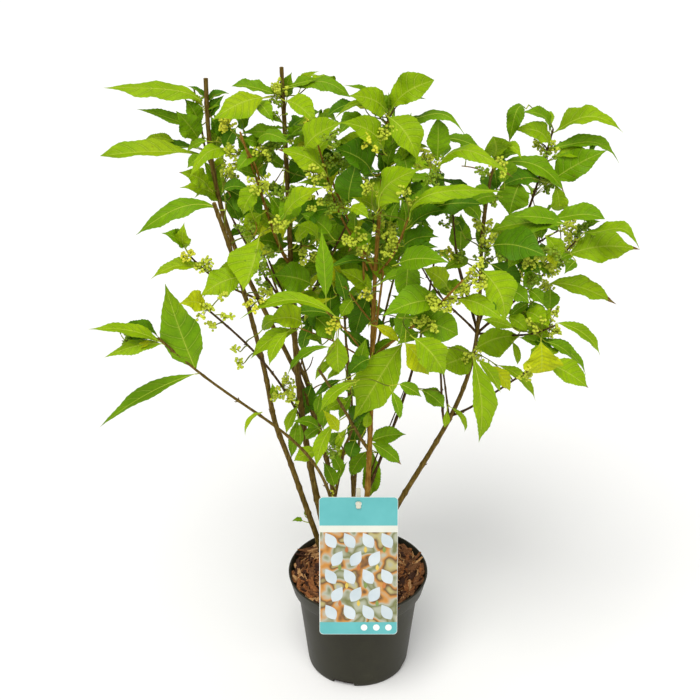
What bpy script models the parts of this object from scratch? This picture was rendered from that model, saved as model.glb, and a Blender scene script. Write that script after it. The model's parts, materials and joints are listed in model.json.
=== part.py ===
"""Potted beautyberry shrub: a many-stemmed shrub in a round nursery pot.

Metres, +Z up. The origin is the centre of the pot's flat underside, the shrub
is seen from the front along +Y, and +X is to the right. The tables hold sizes
in millimetres. Stems rise from the bark-topped root ball, boughs leave the
stems, and each stem or bough ends where it enters a mass of leaves. Two stems
with pruned tops run right up through the leaves, and small low tufts of leaves
are cut round the stems that pass through them.
"""

import math

import bmesh
import bpy
from mathutils import Matrix, Vector, noise
from mathutils.bvhtree import BVHTree

MM = 0.001
GAP = 0.3  # between touching pieces

# ---- nursery pot -----------------------------------------------------------
POT_HEIGHT = 150.0
RIM_RADIUS = 95.0  # outer edge of the rim band, at the top
BAND_FOOT_RADIUS = 89.0  # outer edge of the rim band, at its lower edge
BAND_HEIGHT = 25.0
WALL_TOP_RADIUS = 83.0  # wall just under the rim band
WALL_FOOT_RADIUS = 69.8  # wall just above the rounded foot
FOOT_RADIUS = 67.4  # edge of the flat underside
FOOT_ROUND = 8.0  # height of the rounded foot
WALL = 1.7
FLOOR = 2.2
NOTCH_WIDTH = 30.0  # drainage notches in the foot
NOTCH_HEIGHT = 8.5
NOTCH_DEPTH = 9.0
NOTCH_ANGLES = (-107.0, -17.0, 73.0, 163.0)  # degrees from +X
TURN_STEPS = 38

# ---- root ball, topped with bark -------------------------------------------
BARK_LEVEL = 138.0
BARK_EDGE_DROP = 4.0
BARK_EDGE_WIDTH = 9.0

# ---- care tag and its stake ------------------------------------------------
TAG_WIDTH = 102.0
TAG_HEIGHT = 188.0
TAG_THICK = 0.8
TAG_CORNER = 5.0
TAG_LEAN = 17.0  # degrees back from upright
TAG_FOOT_Z = 122.0
TAG_RIM_CLEARANCE = 0.6
SLOT_WIDTH = 8.0
SLOT_HEIGHT = 5.0
SLOT_DROP = 9.0  # slot centre below the tag's top edge
STAKE_WIDTH = 6.0
STAKE_THICK = 1.6
STAKE_FOOT_Y = -82.0
STAKE_TOP = (-44.2, 312.0)  # y and z of the stake's top
STAKE_HEAD = 3.4  # how far the head stands out through the slot

# ---- stems and boughs ------------------------------------------------------
# start is (x, y) on the bark, or (parent, share of the parent's length).
# bow is the largest sideways bend and peak the share of length where it is;
# sway bends the lower half one way and the upper half the other.
FLARE = 1.9  # extra radius at a stem's foot
FLARE_HEIGHT = 11.0

LIMBS = {
    "stem_far_left": dict(start=(-50, 36), tip=(-163, -100, 731), bow=(-5, 16, 3), sway=(-3, 2, 0), peak=0.55, radii=(2.7, 1.3)),
    "stem_cut_left": dict(start=(-17, 17), tip=(-182, 60, 824), bow=(-3, -5, 0), sway=(20, -1, 6), peak=0.55, radii=(2.5, 2.0)),
    "stem_cut_centre": dict(start=(-37, 22), tip=(-90, 20, 850), bow=(-19, 0, -2), sway=(-4, 0, 0), peak=0.5, radii=(3.1, 2.2)),
    "stem_centre": dict(start=(4, 1), tip=(32, -40, 806), bow=(-2, 5, 0), sway=(3, 0, 0), peak=0.5, radii=(3.5, 1.3)),
    "stem_right": dict(start=(17, 31), tip=(154, -20, 737), bow=(44, 6, -9), sway=(14, 2, -3), peak=0.65, radii=(3.2, 1.2)),
    "stem_low_left": dict(start=(-25, -14), tip=(-239, -80, 550), bow=(53, 9, 26), sway=(15, 1, 6), peak=0.55, radii=(2.1, 1.1)),
    "stem_back": dict(start=(-3, 33), tip=(-27, 160, 606), bow=(2, -13, 3), sway=(-1, 2, -1), peak=0.35, radii=(2.2, 1.1)),
    "stem_back_right": dict(start=(-5, 54), tip=(62, 170, 573), bow=(-18, -12, 5), sway=(-1, -1, 0), peak=0.45, radii=(2.2, 1.1)),
    "stem_back_left": dict(start=(-28, 54), tip=(-128, 150, 560), bow=(18, -10, 6), sway=(-4, 2, -2), peak=0.35, radii=(2.0, 1.1)),
    "bough_front_left": dict(start=("stem_cut_centre", 0.31), tip=(-181, -130, 621), bow=(7, 12, 9), sway=(0, -2, -2), peak=0.35, radii=(1.6, 1.0)),
    "bough_left": dict(start=("stem_cut_centre", 0.55), tip=(-196, -70, 651), bow=(-9, 5, -5), sway=(2, 1, 2), peak=0.45, radii=(1.5, 1.0)),
    "bough_back_left": dict(start=("stem_cut_centre", 0.54), tip=(-169, 130, 626), bow=(-2, -7, 5), sway=(1, 0, 0), peak=0.35, radii=(1.5, 1.0)),
    "bough_front_centre": dict(start=("stem_centre", 0.31), tip=(-48, -100, 518), bow=(-3, 6, 2), sway=(0, -1, -1), peak=0.35, radii=(1.8, 1.4)),
    "bough_back_centre": dict(start=("stem_centre", 0.21), tip=(103, 150, 560), bow=(10, -13, 3), sway=(-4, 1, 0), peak=0.35, radii=(1.9, 1.1)),
    "bough_front_right": dict(start=("stem_centre", 0.52), tip=(113, -160, 664), bow=(8, 7, 1), sway=(-2, 0, 1), peak=0.35, radii=(1.6, 1.0)),
    "bough_low_side": dict(start=("stem_right", 0.43), tip=(201, -120, 530), bow=(9, 5, -2), sway=(0, 0, -1), peak=0.35, radii=(1.5, 1.0)),
    "bough_droop": dict(start=("stem_right", 0.40), tip=(91, -100, 559), bow=(-1, 5, 3), sway=(-1, 0, -1), peak=0.35, radii=(1.4, 1.0)),
}
THROUGH_LEAVES = ("stem_cut_left", "stem_cut_centre")
# small low tufts of leaves that stems run up through, on their way to the crown
LOW_TUFTS = ("leaves_low_centre", "leaves_low_inner", "leaves_inner")

# ---- masses of leaves ------------------------------------------------------
# half holds the half widths along x, y and z. Each spray that stands out of a
# mass is (degrees round from +X, degrees up, reach from the mass's centre).
UNEVEN = 0.13
FULLNESS = 1.12  # masses swell by this until they meet their neighbours
MASS_GAP = 2.0
MASS_STEPS = (14, 8)  # turns and rings of a mass
TUFT_STEPS = (10, 6)  # turns and rings of a small low tuft
SPRAY_SPREAD = 34.0  # degrees over which a spray fades back into its mass

MASSES = {
    "leaves_top_left": dict(centre=(-226, 60, 762), half=(62, 62, 45), sprays=((-165, 36, 95), (-133, 78, 64), (180, -20, 90), (51, 39, 66), (-7, -8, 81))),
    "leaves_left_shoulder": dict(centre=(-186, -90, 716), half=(50, 50, 38), sprays=((-171, -18, 69), (180, 80, 54), (26, 66, 56), (-161, -44, 43))),
    "leaves_left": dict(centre=(-179, -90, 631), half=(50, 55, 38), sprays=((150, -12, 82), (156, 44, 68), (-95, -40, 56))),
    "leaves_low_left": dict(centre=(-238, -80, 534), half=(45, 36, 28), sprays=((-173, 23, 88), (-155, 7, 72), (-151, -43, 115), (43, 80, 81), (25, 41, 63), (26, -43, 61))),
    "leaves_upper_left": dict(centre=(-118, -50, 787), half=(46, 58, 45), sprays=((180, 72, 70), (0, 78, 66), (-135, 47, 62))),
    "leaves_crown": dict(centre=(-60, 20, 776), half=(50, 66, 52), sprays=((180, 83, 66), (-23, 60, 70), (-23, 38, 66))),
    "leaves_crown_right": dict(centre=(32, -30, 782), half=(54, 66, 50), sprays=((-168, 54, 84), (0, 71, 79), (12, 51, 80), (-20, 11, 91))),
    "leaves_upper_right": dict(centre=(142, -10, 726), half=(52, 62, 48), sprays=((167, 57, 83), (15, 43, 52))),
    "leaves_top_right": dict(centre=(244, 50, 753), half=(45, 52, 40), sprays=((-9, 17, 70), (0, -20, 75), (171, 31, 78), (0, 60, 49))),
    "leaves_right_shoulder": dict(centre=(219, -40, 704), half=(55, 60, 40), sprays=((0, 44, 90), (-18, -9, 66))),
    "leaves_right": dict(centre=(277, -30, 635), half=(42, 52, 38), sprays=((0, 13, 54), (17, 51, 56), (122, 48, 55), (-48, -62, 57), (180, -42, 64))),
    "leaves_low_right": dict(centre=(218, -100, 565), half=(50, 52, 38), sprays=((-17, -12, 70), (-21, -46, 81), (-106, -56, 75), (90, 10, 65))),
    "leaves_front_right": dict(centre=(100, -150, 654), half=(62, 58, 50), sprays=((-9, -29, 75), (-100, 0, 85))),
    "leaves_droop": dict(centre=(117, -100, 515), half=(38, 38, 35), sprays=((-36, -69, 92), (180, -55, 56))),
    "leaves_front": dict(centre=(23, -160, 577), half=(52, 50, 48), sprays=((-162, -69, 93), (21, -70, 83), (-90, 5, 75))),
    "leaves_centre": dict(centre=(-34, -105, 686), half=(70, 62, 60), sprays=((-80, 0, 95),)),
    "leaves_centre_right": dict(centre=(60, -85, 708), half=(58, 60, 55), sprays=((-95, 5, 85),)),
    "leaves_left_centre": dict(centre=(-108, -95, 688), half=(58, 58, 55), sprays=((-110, -10, 80),)),
    "leaves_front_left": dict(centre=(-70, -90, 546), half=(55, 45, 44), sprays=((-172, -59, 137), (-150, 1, 61))),
    "leaves_low_centre": dict(centre=(25, -30, 353), half=(26, 28, 30), sprays=((-17, 50, 53), (-18, -7, 32), (163, -48, 52))),
    "leaves_low_inner": dict(centre=(-38, 40, 329), half=(22, 20, 32), sprays=((180, -61, 47), (180, 45, 33), (0, 42, 40), (-14, -71, 60))),
    "leaves_inner": dict(centre=(-40, 20, 409), half=(32, 30, 36), sprays=((180, 34, 42), (33, 35, 46))),
    "leaves_back_left": dict(centre=(-150, 125, 625), half=(75, 62, 75), sprays=((120, -5, 98), (170, 10, 105))),
    "leaves_back": dict(centre=(-31, 140, 650), half=(68, 62, 82), sprays=((90, 5, 100), (60, -30, 90))),
    "leaves_back_right": dict(centre=(80, 125, 640), half=(68, 62, 75), sprays=((80, 0, 98), (40, 20, 88))),
    "leaves_far_right": dict(centre=(190, 85, 610), half=(65, 60, 60), sprays=((50, 0, 92), (10, -25, 80))),
    "leaves_back_low": dict(centre=(10, 120, 500), half=(105, 60, 48), sprays=((75, -15, 85), (150, -10, 105))),
    "leaves_heart": dict(centre=(-11, 10, 585), half=(85, 65, 65), sprays=()),
}


# ---- helpers ---------------------------------------------------------------
def clear_scene():
    for obj in list(bpy.data.objects):
        bpy.data.objects.remove(obj, do_unlink=True)


def make_collection(name):
    col = bpy.data.collections.new(name)
    bpy.context.scene.collection.children.link(col)
    return col


def make_material(name, colour, roughness, metallic=0.0):
    mat = bpy.data.materials.new(name)
    mat.use_nodes = True
    shader = mat.node_tree.nodes["Principled BSDF"]
    shader.inputs["Base Color"].default_value = (*colour, 1.0)
    shader.inputs["Roughness"].default_value = roughness
    shader.inputs["Metallic"].default_value = metallic
    mat.diffuse_color = (*colour, 1.0)
    return mat


def add_object(name, mesh, mat, col):
    obj = bpy.data.objects.new(name, mesh)
    if mat is not None:
        mesh.materials.clear()
        mesh.materials.append(mat)
    col.objects.link(obj)
    return obj


def as_cutter(obj):
    obj.hide_render = True
    obj.display_type = "WIRE"
    return obj


def smooth(mesh, degrees=35.0):
    mesh.shade_smooth()
    mesh.set_sharp_from_angle(angle=math.radians(degrees))


def cut(obj, cutter, operation="DIFFERENCE"):
    mod = obj.modifiers.new(cutter.name, "BOOLEAN")
    mod.operation = operation
    mod.solver = "EXACT"
    mod.object = cutter
    return mod


def turned(name, profile, mat, col):
    """A profile of (radius, height) pairs in mm, turned about the Z axis."""
    mesh = bpy.data.meshes.new(name)
    verts = [(r * MM, 0.0, z * MM) for r, z in profile]
    edges = [(i, i + 1) for i in range(len(verts) - 1)]
    mesh.from_pydata(verts, edges, [])
    obj = add_object(name, mesh, mat, col)
    screw = obj.modifiers.new("turn", "SCREW")
    screw.axis = "Z"
    screw.angle = 2.0 * math.pi
    screw.steps = TURN_STEPS
    screw.render_steps = TURN_STEPS
    screw.use_merge_vertices = True
    screw.merge_threshold = 0.00001
    screw.use_smooth_shade = True
    return obj


def box(name, size, centre, rotation, mat, col):
    """A box of the given size in mm, turned by the matrix rotation."""
    bm = bmesh.new()
    bmesh.ops.create_cube(bm, size=1.0)
    bmesh.ops.scale(bm, vec=Vector(size) * MM, verts=bm.verts)
    mesh = bpy.data.meshes.new(name)
    bm.to_mesh(mesh)
    bm.free()
    obj = add_object(name, mesh, mat, col)
    obj.matrix_world = Matrix.Translation(Vector(centre) * MM) @ rotation.to_4x4()
    return obj


# ---- pot and root ball -----------------------------------------------------
def wall_radius(z):
    """Outer radius of the pot's wall below the rim band."""
    share = (z - FOOT_ROUND) / (POT_HEIGHT - BAND_HEIGHT - FOOT_ROUND)
    return WALL_FOOT_RADIUS + (WALL_TOP_RADIUS - WALL_FOOT_RADIUS) * share


def build_pot(mat, parts, cutters):
    band_z = POT_HEIGHT - BAND_HEIGHT
    profile = [
        (0.0, FLOOR),
        (FOOT_RADIUS - WALL, FLOOR),
        (WALL_FOOT_RADIUS - WALL, FOOT_ROUND + 0.8),
        (WALL_TOP_RADIUS - WALL, band_z + 1.0),
        (BAND_FOOT_RADIUS - WALL, band_z + 3.0),
        (RIM_RADIUS - 2.4, POT_HEIGHT),
        (RIM_RADIUS - 0.6, POT_HEIGHT),
        (RIM_RADIUS, POT_HEIGHT - 0.8),
        (RIM_RADIUS - 0.4, POT_HEIGHT - 3.0),
        (BAND_FOOT_RADIUS, band_z),
        (WALL_TOP_RADIUS, band_z - 0.6),
        (WALL_FOOT_RADIUS, FOOT_ROUND),
        (FOOT_RADIUS + 1.5, 2.4),
        (FOOT_RADIUS, 0.0),
        (0.0, 0.0),
    ]
    pot = turned("pot", profile, mat, parts)
    for i, angle in enumerate(NOTCH_ANGLES):
        turn = Matrix.Rotation(math.radians(angle), 3, "Z")
        reach = FOOT_RADIUS - NOTCH_DEPTH + 12.0
        notch = box(
            f"notch_{i + 1}",
            (24.0, NOTCH_WIDTH, NOTCH_HEIGHT + 4.0),
            turn @ Vector((reach, 0.0, NOTCH_HEIGHT - (NOTCH_HEIGHT + 4.0) / 2.0)),
            turn,
            None,
            cutters,
        )
        cut(pot, as_cutter(notch))
    return pot


def build_root_ball(mat, parts):
    inner = WALL + GAP
    edge_z = BARK_LEVEL - BARK_EDGE_DROP
    band_z = POT_HEIGHT - BAND_HEIGHT
    # inside radius of the flared rim band at the height of the bark's edge
    share = (edge_z - band_z - 3.0) / (BAND_HEIGHT - 3.0)
    edge_r = (BAND_FOOT_RADIUS - WALL) + share * (RIM_RADIUS - 2.4 - BAND_FOOT_RADIUS + WALL) - GAP - 0.3
    profile = [
        (0.0, BARK_LEVEL),
        (edge_r - BARK_EDGE_WIDTH, BARK_LEVEL),
        (edge_r, edge_z),
        (BAND_FOOT_RADIUS - inner - 0.4, band_z + 3.4),
        (WALL_TOP_RADIUS - inner - 0.2, band_z + 0.8),
        (WALL_FOOT_RADIUS - inner - 0.2, FOOT_ROUND + 1.2),
        (FOOT_RADIUS - inner - 0.4, FLOOR + GAP),
        (0.0, FLOOR + GAP),
    ]
    return turned("root_ball", profile, mat, parts)


# ---- care tag --------------------------------------------------------------
def tag_frame():
    """Rotation of the tag's plane and the mid-point of its foot, in mm."""
    lean = math.radians(TAG_LEAN)
    rotation = Matrix.Rotation(-lean, 3, "X") @ Matrix.Rotation(math.radians(90.0), 3, "X")
    # the back face clears the front of the rim
    touch_y = -(RIM_RADIUS + (TAG_RIM_CLEARANCE + TAG_THICK / 2.0) / math.cos(lean))
    foot_y = touch_y - (POT_HEIGHT - TAG_FOOT_Z) * math.tan(lean)
    return rotation, Vector((0.0, foot_y, TAG_FOOT_Z))


def outline(width, height, corner, centre, steps=4):
    """A rectangle with round corners, as points in the plane."""
    points = []
    for quarter in range(4):
        sx = 1 if quarter in (0, 3) else -1
        sy = 1 if quarter in (0, 1) else -1
        cx = centre[0] + sx * (width / 2.0 - corner)
        cy = centre[1] + sy * (height / 2.0 - corner)
        for k in range(steps + 1):
            a = math.radians(90.0 * quarter + 90.0 * k / steps)
            points.append((cx + corner * math.cos(a), cy + corner * math.sin(a)))
    return points


def build_tag(mat, parts):
    curve = bpy.data.curves.new("care_tag_outline", "CURVE")
    curve.dimensions = "2D"
    curve.fill_mode = "BOTH"
    curve.extrude = TAG_THICK * MM / 2.0
    whole = outline(TAG_WIDTH, TAG_HEIGHT, TAG_CORNER, (0.0, TAG_HEIGHT / 2.0))
    slot = outline(SLOT_WIDTH, SLOT_HEIGHT, 2.0, (0.0, TAG_HEIGHT - SLOT_DROP), steps=2)
    for ring in (whole, slot):
        spline = curve.splines.new("POLY")
        spline.points.add(len(ring) - 1)
        for point, (x, y) in zip(spline.points, ring):
            point.co = (x * MM, y * MM, 0.0, 1.0)
        spline.use_cyclic_u = True
    rotation, foot = tag_frame()
    obj = bpy.data.objects.new("care_tag_outline", curve)
    parts.objects.link(obj)
    obj.matrix_world = Matrix.Translation(foot * MM) @ rotation.to_4x4()
    bpy.context.view_layer.update()
    return as_mesh(obj, "care_tag", mat, parts)


def as_mesh(curve_obj, name, mat, col):
    """The curve's solid as a mesh object, with its caps welded on."""
    graph = bpy.context.evaluated_depsgraph_get()
    mesh = bpy.data.meshes.new_from_object(curve_obj.evaluated_get(graph))
    mesh.name = name
    bm = bmesh.new()
    bm.from_mesh(mesh)
    bmesh.ops.remove_doubles(bm, verts=bm.verts, dist=0.000005)
    bmesh.ops.recalc_face_normals(bm, faces=bm.faces)
    bm.to_mesh(mesh)
    bm.free()
    obj = add_object(name, mesh, mat, col)
    obj.matrix_world = curve_obj.matrix_world.copy()
    bpy.data.objects.remove(curve_obj, do_unlink=True)
    return obj


def build_stake(mat, parts, cutters):
    foot = Vector((0.0, STAKE_FOOT_Y, BARK_LEVEL + GAP + 0.6))
    top = Vector((0.0, *STAKE_TOP))
    along = (top - foot).normalized()
    lean = math.atan2(along.y, along.z)
    rotation = Matrix.Rotation(-lean, 3, "X")
    stake = box(
        "tag_stake",
        (STAKE_WIDTH, STAKE_THICK, (top - foot).length),
        (foot + top) / 2.0,
        rotation,
        mat,
        parts,
    )
    tag_turn, tag_foot = tag_frame()
    slot = tag_foot + tag_turn @ Vector((0.0, TAG_HEIGHT - SLOT_DROP, 0.0))
    head = box(
        "stake_head",
        (SLOT_WIDTH - 2.0, SLOT_HEIGHT - 1.6, 2.0 * STAKE_HEAD),
        slot,
        tag_turn,
        None,
        cutters,
    )
    cut(stake, as_cutter(head), "UNION")
    return stake


# ---- stems and boughs ------------------------------------------------------
def limb_point(limb, foot, t):
    """The point at share t of a limb's length, in mm."""
    power = math.log(0.5) / math.log(limb["peak"])
    phase = math.pi * t**power
    chord = foot.lerp(Vector(limb["tip"]), t)
    return chord + Vector(limb["bow"]) * math.sin(phase) + Vector(limb["sway"]) * math.sin(2.0 * phase)


def limb_foot(name):
    start = LIMBS[name]["start"]
    if isinstance(start[0], str):
        parent, share = start
        return limb_point(LIMBS[parent], limb_foot(parent), share)
    return Vector((start[0], start[1], BARK_LEVEL + GAP))


def limb_radius(name, t, length):
    limb = LIMBS[name]
    thick, thin = limb["radii"]
    radius = thick + (thin - thick) * t**0.8
    if not isinstance(limb["start"][0], str):
        radius += FLARE * math.exp(-t * length / FLARE_HEIGHT)
    return radius


def limb_length(name):
    foot = limb_foot(name)
    points = [limb_point(LIMBS[name], foot, i / 80.0) for i in range(81)]
    return sum((b - a).length for a, b in zip(points, points[1:]))


def clear_of_parent(name, length):
    """The share of its length at which a bough stands clear of its parent."""
    limb = LIMBS[name]
    start = limb["start"]
    if not isinstance(start[0], str):
        return 0.0
    parent = start[0]
    parent_foot = limb_foot(parent)
    parent_length = limb_length(parent)
    axis = [
        (limb_point(LIMBS[parent], parent_foot, i / 240.0), limb_radius(parent, i / 240.0, parent_length))
        for i in range(241)
    ]
    foot = limb_foot(name)
    for step in range(4, 120):
        t = step / 2.0 / length
        centre = limb_point(limb, foot, t)
        ahead = (limb_point(limb, foot, t + 0.01) - centre).normalized()
        side = ahead.orthogonal().normalized()
        radius = limb_radius(name, t, length)
        ring = [centre + Matrix.Rotation(math.radians(30.0 * k), 3, ahead) @ side * radius for k in range(12)]
        nearest = min((p - q).length - r for p in ring for q, r in axis)
        if nearest > GAP + 0.15:
            return t
    return 0.5


def build_limb(name, begin, end, mat, col, extra=0.0, sides=2):
    """A tapering solid along a limb, from share begin to share end."""
    limb = LIMBS[name]
    foot = limb_foot(name)
    length = limb_length(name)
    count = max(4, int(round((end - begin) * length / 42.0)) + 1)
    shares = [begin + (end - begin) * i / (count - 1) for i in range(count)]
    if begin == 0.0 and extra == 0.0:
        flare_share = 1.6 * FLARE_HEIGHT / length
        shares = [0.0, flare_share * 0.45, flare_share] + shares[1:]
    curve = bpy.data.curves.new(name, "CURVE")
    curve.dimensions = "3D"
    curve.bevel_depth = MM
    curve.bevel_resolution = sides
    curve.use_fill_caps = True
    curve.twist_mode = "MINIMUM"
    spline = curve.splines.new("POLY")
    spline.points.add(len(shares) - 1)
    for point, t in zip(spline.points, shares):
        point.co = (*(limb_point(limb, foot, t) * MM), 1.0)
        point.radius = limb_radius(name, t, length) + extra
    obj = bpy.data.objects.new(name + "_axis", curve)
    col.objects.link(obj)
    bpy.context.view_layer.update()
    solid = as_mesh(obj, name, mat, col)
    if begin == 0.0 and extra == 0.0:
        # a flat cut at the level of the bark
        level = (BARK_LEVEL + GAP) * MM
        lowest = sorted(solid.data.vertices, key=lambda v: v.co.z)[: 2 * (sides + 2)]
        for vert in lowest:
            vert.co.z = level
    smooth(solid.data)
    return solid


# ---- masses of leaves ------------------------------------------------------
def direction(azimuth, elevation):
    a, e = math.radians(azimuth), math.radians(elevation)
    return Vector((math.cos(a) * math.cos(e), math.sin(a) * math.cos(e), math.sin(e)))


def core_radius(mass, way):
    a, b, c = (FULLNESS * half for half in mass["half"])
    return 1.0 / math.sqrt((way.x / a) ** 2 + (way.y / b) ** 2 + (way.z / c) ** 2)


def mass_reach(mass):
    return max([*mass["half"], *[spray[2] for spray in mass["sprays"]]])


def open_radius(name, way):
    """How far a mass reaches along a direction, before its neighbours are met."""
    mass = MASSES[name]
    centre = Vector(mass["centre"])
    core = core_radius(mass, way)
    bump = noise.noise((centre + way * 55.0) * 0.021) + 0.6 * noise.noise((centre - way * 80.0) * 0.04)
    radius = core * (1.0 + UNEVEN * 1.6 * bump)
    for azimuth, elevation, reach in mass["sprays"]:
        apart = math.degrees(way.angle(direction(azimuth, elevation)))
        if apart < SPRAY_SPREAD:
            share = (1.0 - apart / SPRAY_SPREAD) ** 1.3
            radius = max(radius, core + (reach - core) * share)
    return radius


def neighbour_planes(name):
    """Planes half way to each neighbour, shared out by the two masses' sizes."""
    mass = MASSES[name]
    centre = Vector(mass["centre"])
    planes = []
    for other, data in MASSES.items():
        if other == name:
            continue
        gap = Vector(data["centre"]) - centre
        if gap.length > mass_reach(mass) + mass_reach(data) + MASS_GAP:
            continue
        way = gap.normalized()
        mine, theirs = core_radius(mass, way), core_radius(data, -way)
        planes.append((way, gap.length * mine / (mine + theirs) - MASS_GAP / 2.0))
    return planes


def build_mass(name, mat, col):
    mass = MASSES[name]
    planes = neighbour_planes(name)
    bm = bmesh.new()
    turns, rings = TUFT_STEPS if name in LOW_TUFTS else MASS_STEPS
    bmesh.ops.create_uvsphere(bm, u_segments=turns, v_segments=rings, radius=1.0)
    ways = {vert: vert.co.normalized() for vert in bm.verts}
    # the vertex nearest to each spray is turned to point along it
    for azimuth, elevation, _ in mass["sprays"]:
        aim = direction(azimuth, elevation)
        nearest = min(ways, key=lambda v: ways[v].angle(aim))
        ways[nearest] = aim
    for vert, way in ways.items():
        radius = open_radius(name, way)
        for normal, distance in planes:
            across = way.dot(normal)
            if across > 0.02:
                radius = min(radius, distance / across)
        vert.co = (Vector(mass["centre"]) + way * radius) * MM
    bmesh.ops.triangulate(bm, faces=bm.faces)
    bmesh.ops.recalc_face_normals(bm, faces=bm.faces)
    mesh = bpy.data.meshes.new(name)
    bm.to_mesh(mesh)
    tree = BVHTree.FromBMesh(bm)
    bm.free()
    obj = add_object(name, mesh, mat, col)
    smooth(mesh, 60.0)
    return obj, tree


def room_to_leaves(point, trees):
    """Distance from a point (mm) to the nearest mass, negative inside one."""
    room = 1000.0
    for centre, tree in trees:
        apart = tree.find_nearest(point * MM)[3] / MM
        # each mass is seen whole from its centre, so one ray tells in from out
        ray = point - centre
        skin = tree.ray_cast(centre * MM, ray.normalized())[3]
        inside = skin is not None and ray.length * MM < skin
        room = min(room, -apart if inside else apart)
    return room


def crosses(name, end, mass_name, trees):
    """True if a limb comes within a millimetre of a mass before its own end."""
    tree = [trees[list(MASSES).index(mass_name)]]
    limb, foot, length = LIMBS[name], limb_foot(name), limb_length(name)
    steps = int(length / 2.0)
    return any(
        room_to_leaves(limb_point(limb, foot, end * i / steps), tree) < limb_radius(name, end * i / steps, length) + 1.0
        for i in range(steps + 1)
    )


def share_before_leaves(name, begin, trees):
    """The share of its length at which a limb meets the leaves."""
    limb, foot, length = LIMBS[name], limb_foot(name), limb_length(name)
    steps = int(length / 2.0)
    for i in range(steps + 1):
        t = begin + (1.0 - begin) * i / steps
        if room_to_leaves(limb_point(limb, foot, t), trees) < limb_radius(name, t, length) * 1.15 + GAP:
            return begin + (1.0 - begin) * max(0, i - 1) / steps
    return 1.0


# ---- the whole shrub -------------------------------------------------------
def build():
    clear_scene()
    parts = make_collection("beautyberry_shrub")
    cutters = make_collection("cutters")

    black = make_material("pot_plastic", (0.035, 0.034, 0.028), 0.45)
    bark = make_material("bark_mulch", (0.12, 0.06, 0.03), 0.9)
    tag = make_material("tag_plastic", (0.22, 0.6, 0.62), 0.35)
    white = make_material("stake_plastic", (0.85, 0.84, 0.78), 0.4)
    wood = make_material("stem_wood", (0.16, 0.09, 0.035), 0.75)
    leaf = make_material("leaf_mass", (0.22, 0.42, 0.03), 0.6)

    build_pot(black, parts, cutters)
    build_root_ball(bark, parts)
    build_tag(tag, parts)
    build_stake(white, parts, cutters)

    masses, trees = {}, []
    for name in MASSES:
        masses[name], tree = build_mass(name, leaf, parts)
        trees.append((Vector(MASSES[name]["centre"]), tree))

    crown = [tree for name, tree in zip(MASSES, trees) if name not in LOW_TUFTS]
    ends = {}
    for name, limb in LIMBS.items():
        start = limb["start"]
        begin = clear_of_parent(name, limb_length(name))
        if isinstance(start[0], str) and start[1] > ends.get(start[0], 0.0) - 0.01:
            continue  # its parent is already inside the leaves
        end = 1.0 if name in THROUGH_LEAVES else share_before_leaves(name, begin, crown)
        if (end - begin) * limb_length(name) < 12.0:
            continue
        ends[name] = end
        build_limb(name, begin, end, wood, parts, sides=2 if limb["radii"][0] > 1.95 else 1)

    for name, end in ends.items():
        crossed = list(masses) if name in THROUGH_LEAVES else [tuft for tuft in LOW_TUFTS if crosses(name, end, tuft, trees)]
        if not crossed:
            continue
        begin = 0.2 if name in THROUGH_LEAVES else clear_of_parent(name, limb_length(name))
        cutter = build_limb(name, max(begin, 0.02), end + 0.05, None, cutters, extra=GAP + 0.5, sides=1)
        cutter.name = name + "_cutter"
        as_cutter(cutter)
        low = [min(v.co[i] for v in cutter.data.vertices) for i in range(3)]
        high = [max(v.co[i] for v in cutter.data.vertices) for i in range(3)]
        for mass_name in crossed:
            mass = masses[mass_name]
            corners = [[v.co[i] for v in mass.data.vertices] for i in range(3)]
            if all(min(corners[i]) < high[i] and max(corners[i]) > low[i] for i in range(3)):
                cut(mass, cutter)


build()
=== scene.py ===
"""Looks of the potted beautyberry shrub: bark, shoots, leaves, berries, mulch, pot and care tag.

Sizes in the tables are millimetres, pixels are those of the 700 x 700 photograph.
"""

import json
import math
import random

import bmesh
import bpy
import numpy as np
from mathutils import Matrix, Vector, noise
from mathutils.bvhtree import BVHTree

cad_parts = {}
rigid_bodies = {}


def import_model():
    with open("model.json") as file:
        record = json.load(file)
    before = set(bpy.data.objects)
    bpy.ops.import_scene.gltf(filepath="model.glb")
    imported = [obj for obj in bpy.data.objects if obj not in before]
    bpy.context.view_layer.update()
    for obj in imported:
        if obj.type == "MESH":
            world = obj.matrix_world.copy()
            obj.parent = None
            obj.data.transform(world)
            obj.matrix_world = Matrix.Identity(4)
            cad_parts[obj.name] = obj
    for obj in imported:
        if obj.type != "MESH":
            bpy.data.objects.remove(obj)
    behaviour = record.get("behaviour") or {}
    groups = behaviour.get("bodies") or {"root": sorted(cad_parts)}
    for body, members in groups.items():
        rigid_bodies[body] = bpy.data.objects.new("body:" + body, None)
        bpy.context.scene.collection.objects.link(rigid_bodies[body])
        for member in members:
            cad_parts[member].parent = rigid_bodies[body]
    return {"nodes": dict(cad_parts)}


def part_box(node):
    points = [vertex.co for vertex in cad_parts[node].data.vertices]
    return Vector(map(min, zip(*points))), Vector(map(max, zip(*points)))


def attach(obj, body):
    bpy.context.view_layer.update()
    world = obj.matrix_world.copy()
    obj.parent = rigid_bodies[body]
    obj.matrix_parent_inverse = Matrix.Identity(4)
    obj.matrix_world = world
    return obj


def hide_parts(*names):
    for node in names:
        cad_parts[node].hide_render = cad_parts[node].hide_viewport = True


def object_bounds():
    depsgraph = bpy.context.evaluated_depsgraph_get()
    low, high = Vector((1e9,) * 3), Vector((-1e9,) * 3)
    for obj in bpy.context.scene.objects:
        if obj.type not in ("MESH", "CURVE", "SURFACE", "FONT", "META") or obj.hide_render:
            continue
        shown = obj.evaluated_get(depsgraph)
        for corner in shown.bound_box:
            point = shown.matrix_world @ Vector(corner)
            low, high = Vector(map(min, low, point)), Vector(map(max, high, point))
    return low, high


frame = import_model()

CAD_BOX = [[float(x) for x in corner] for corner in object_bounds()]
MM = 0.001
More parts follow.
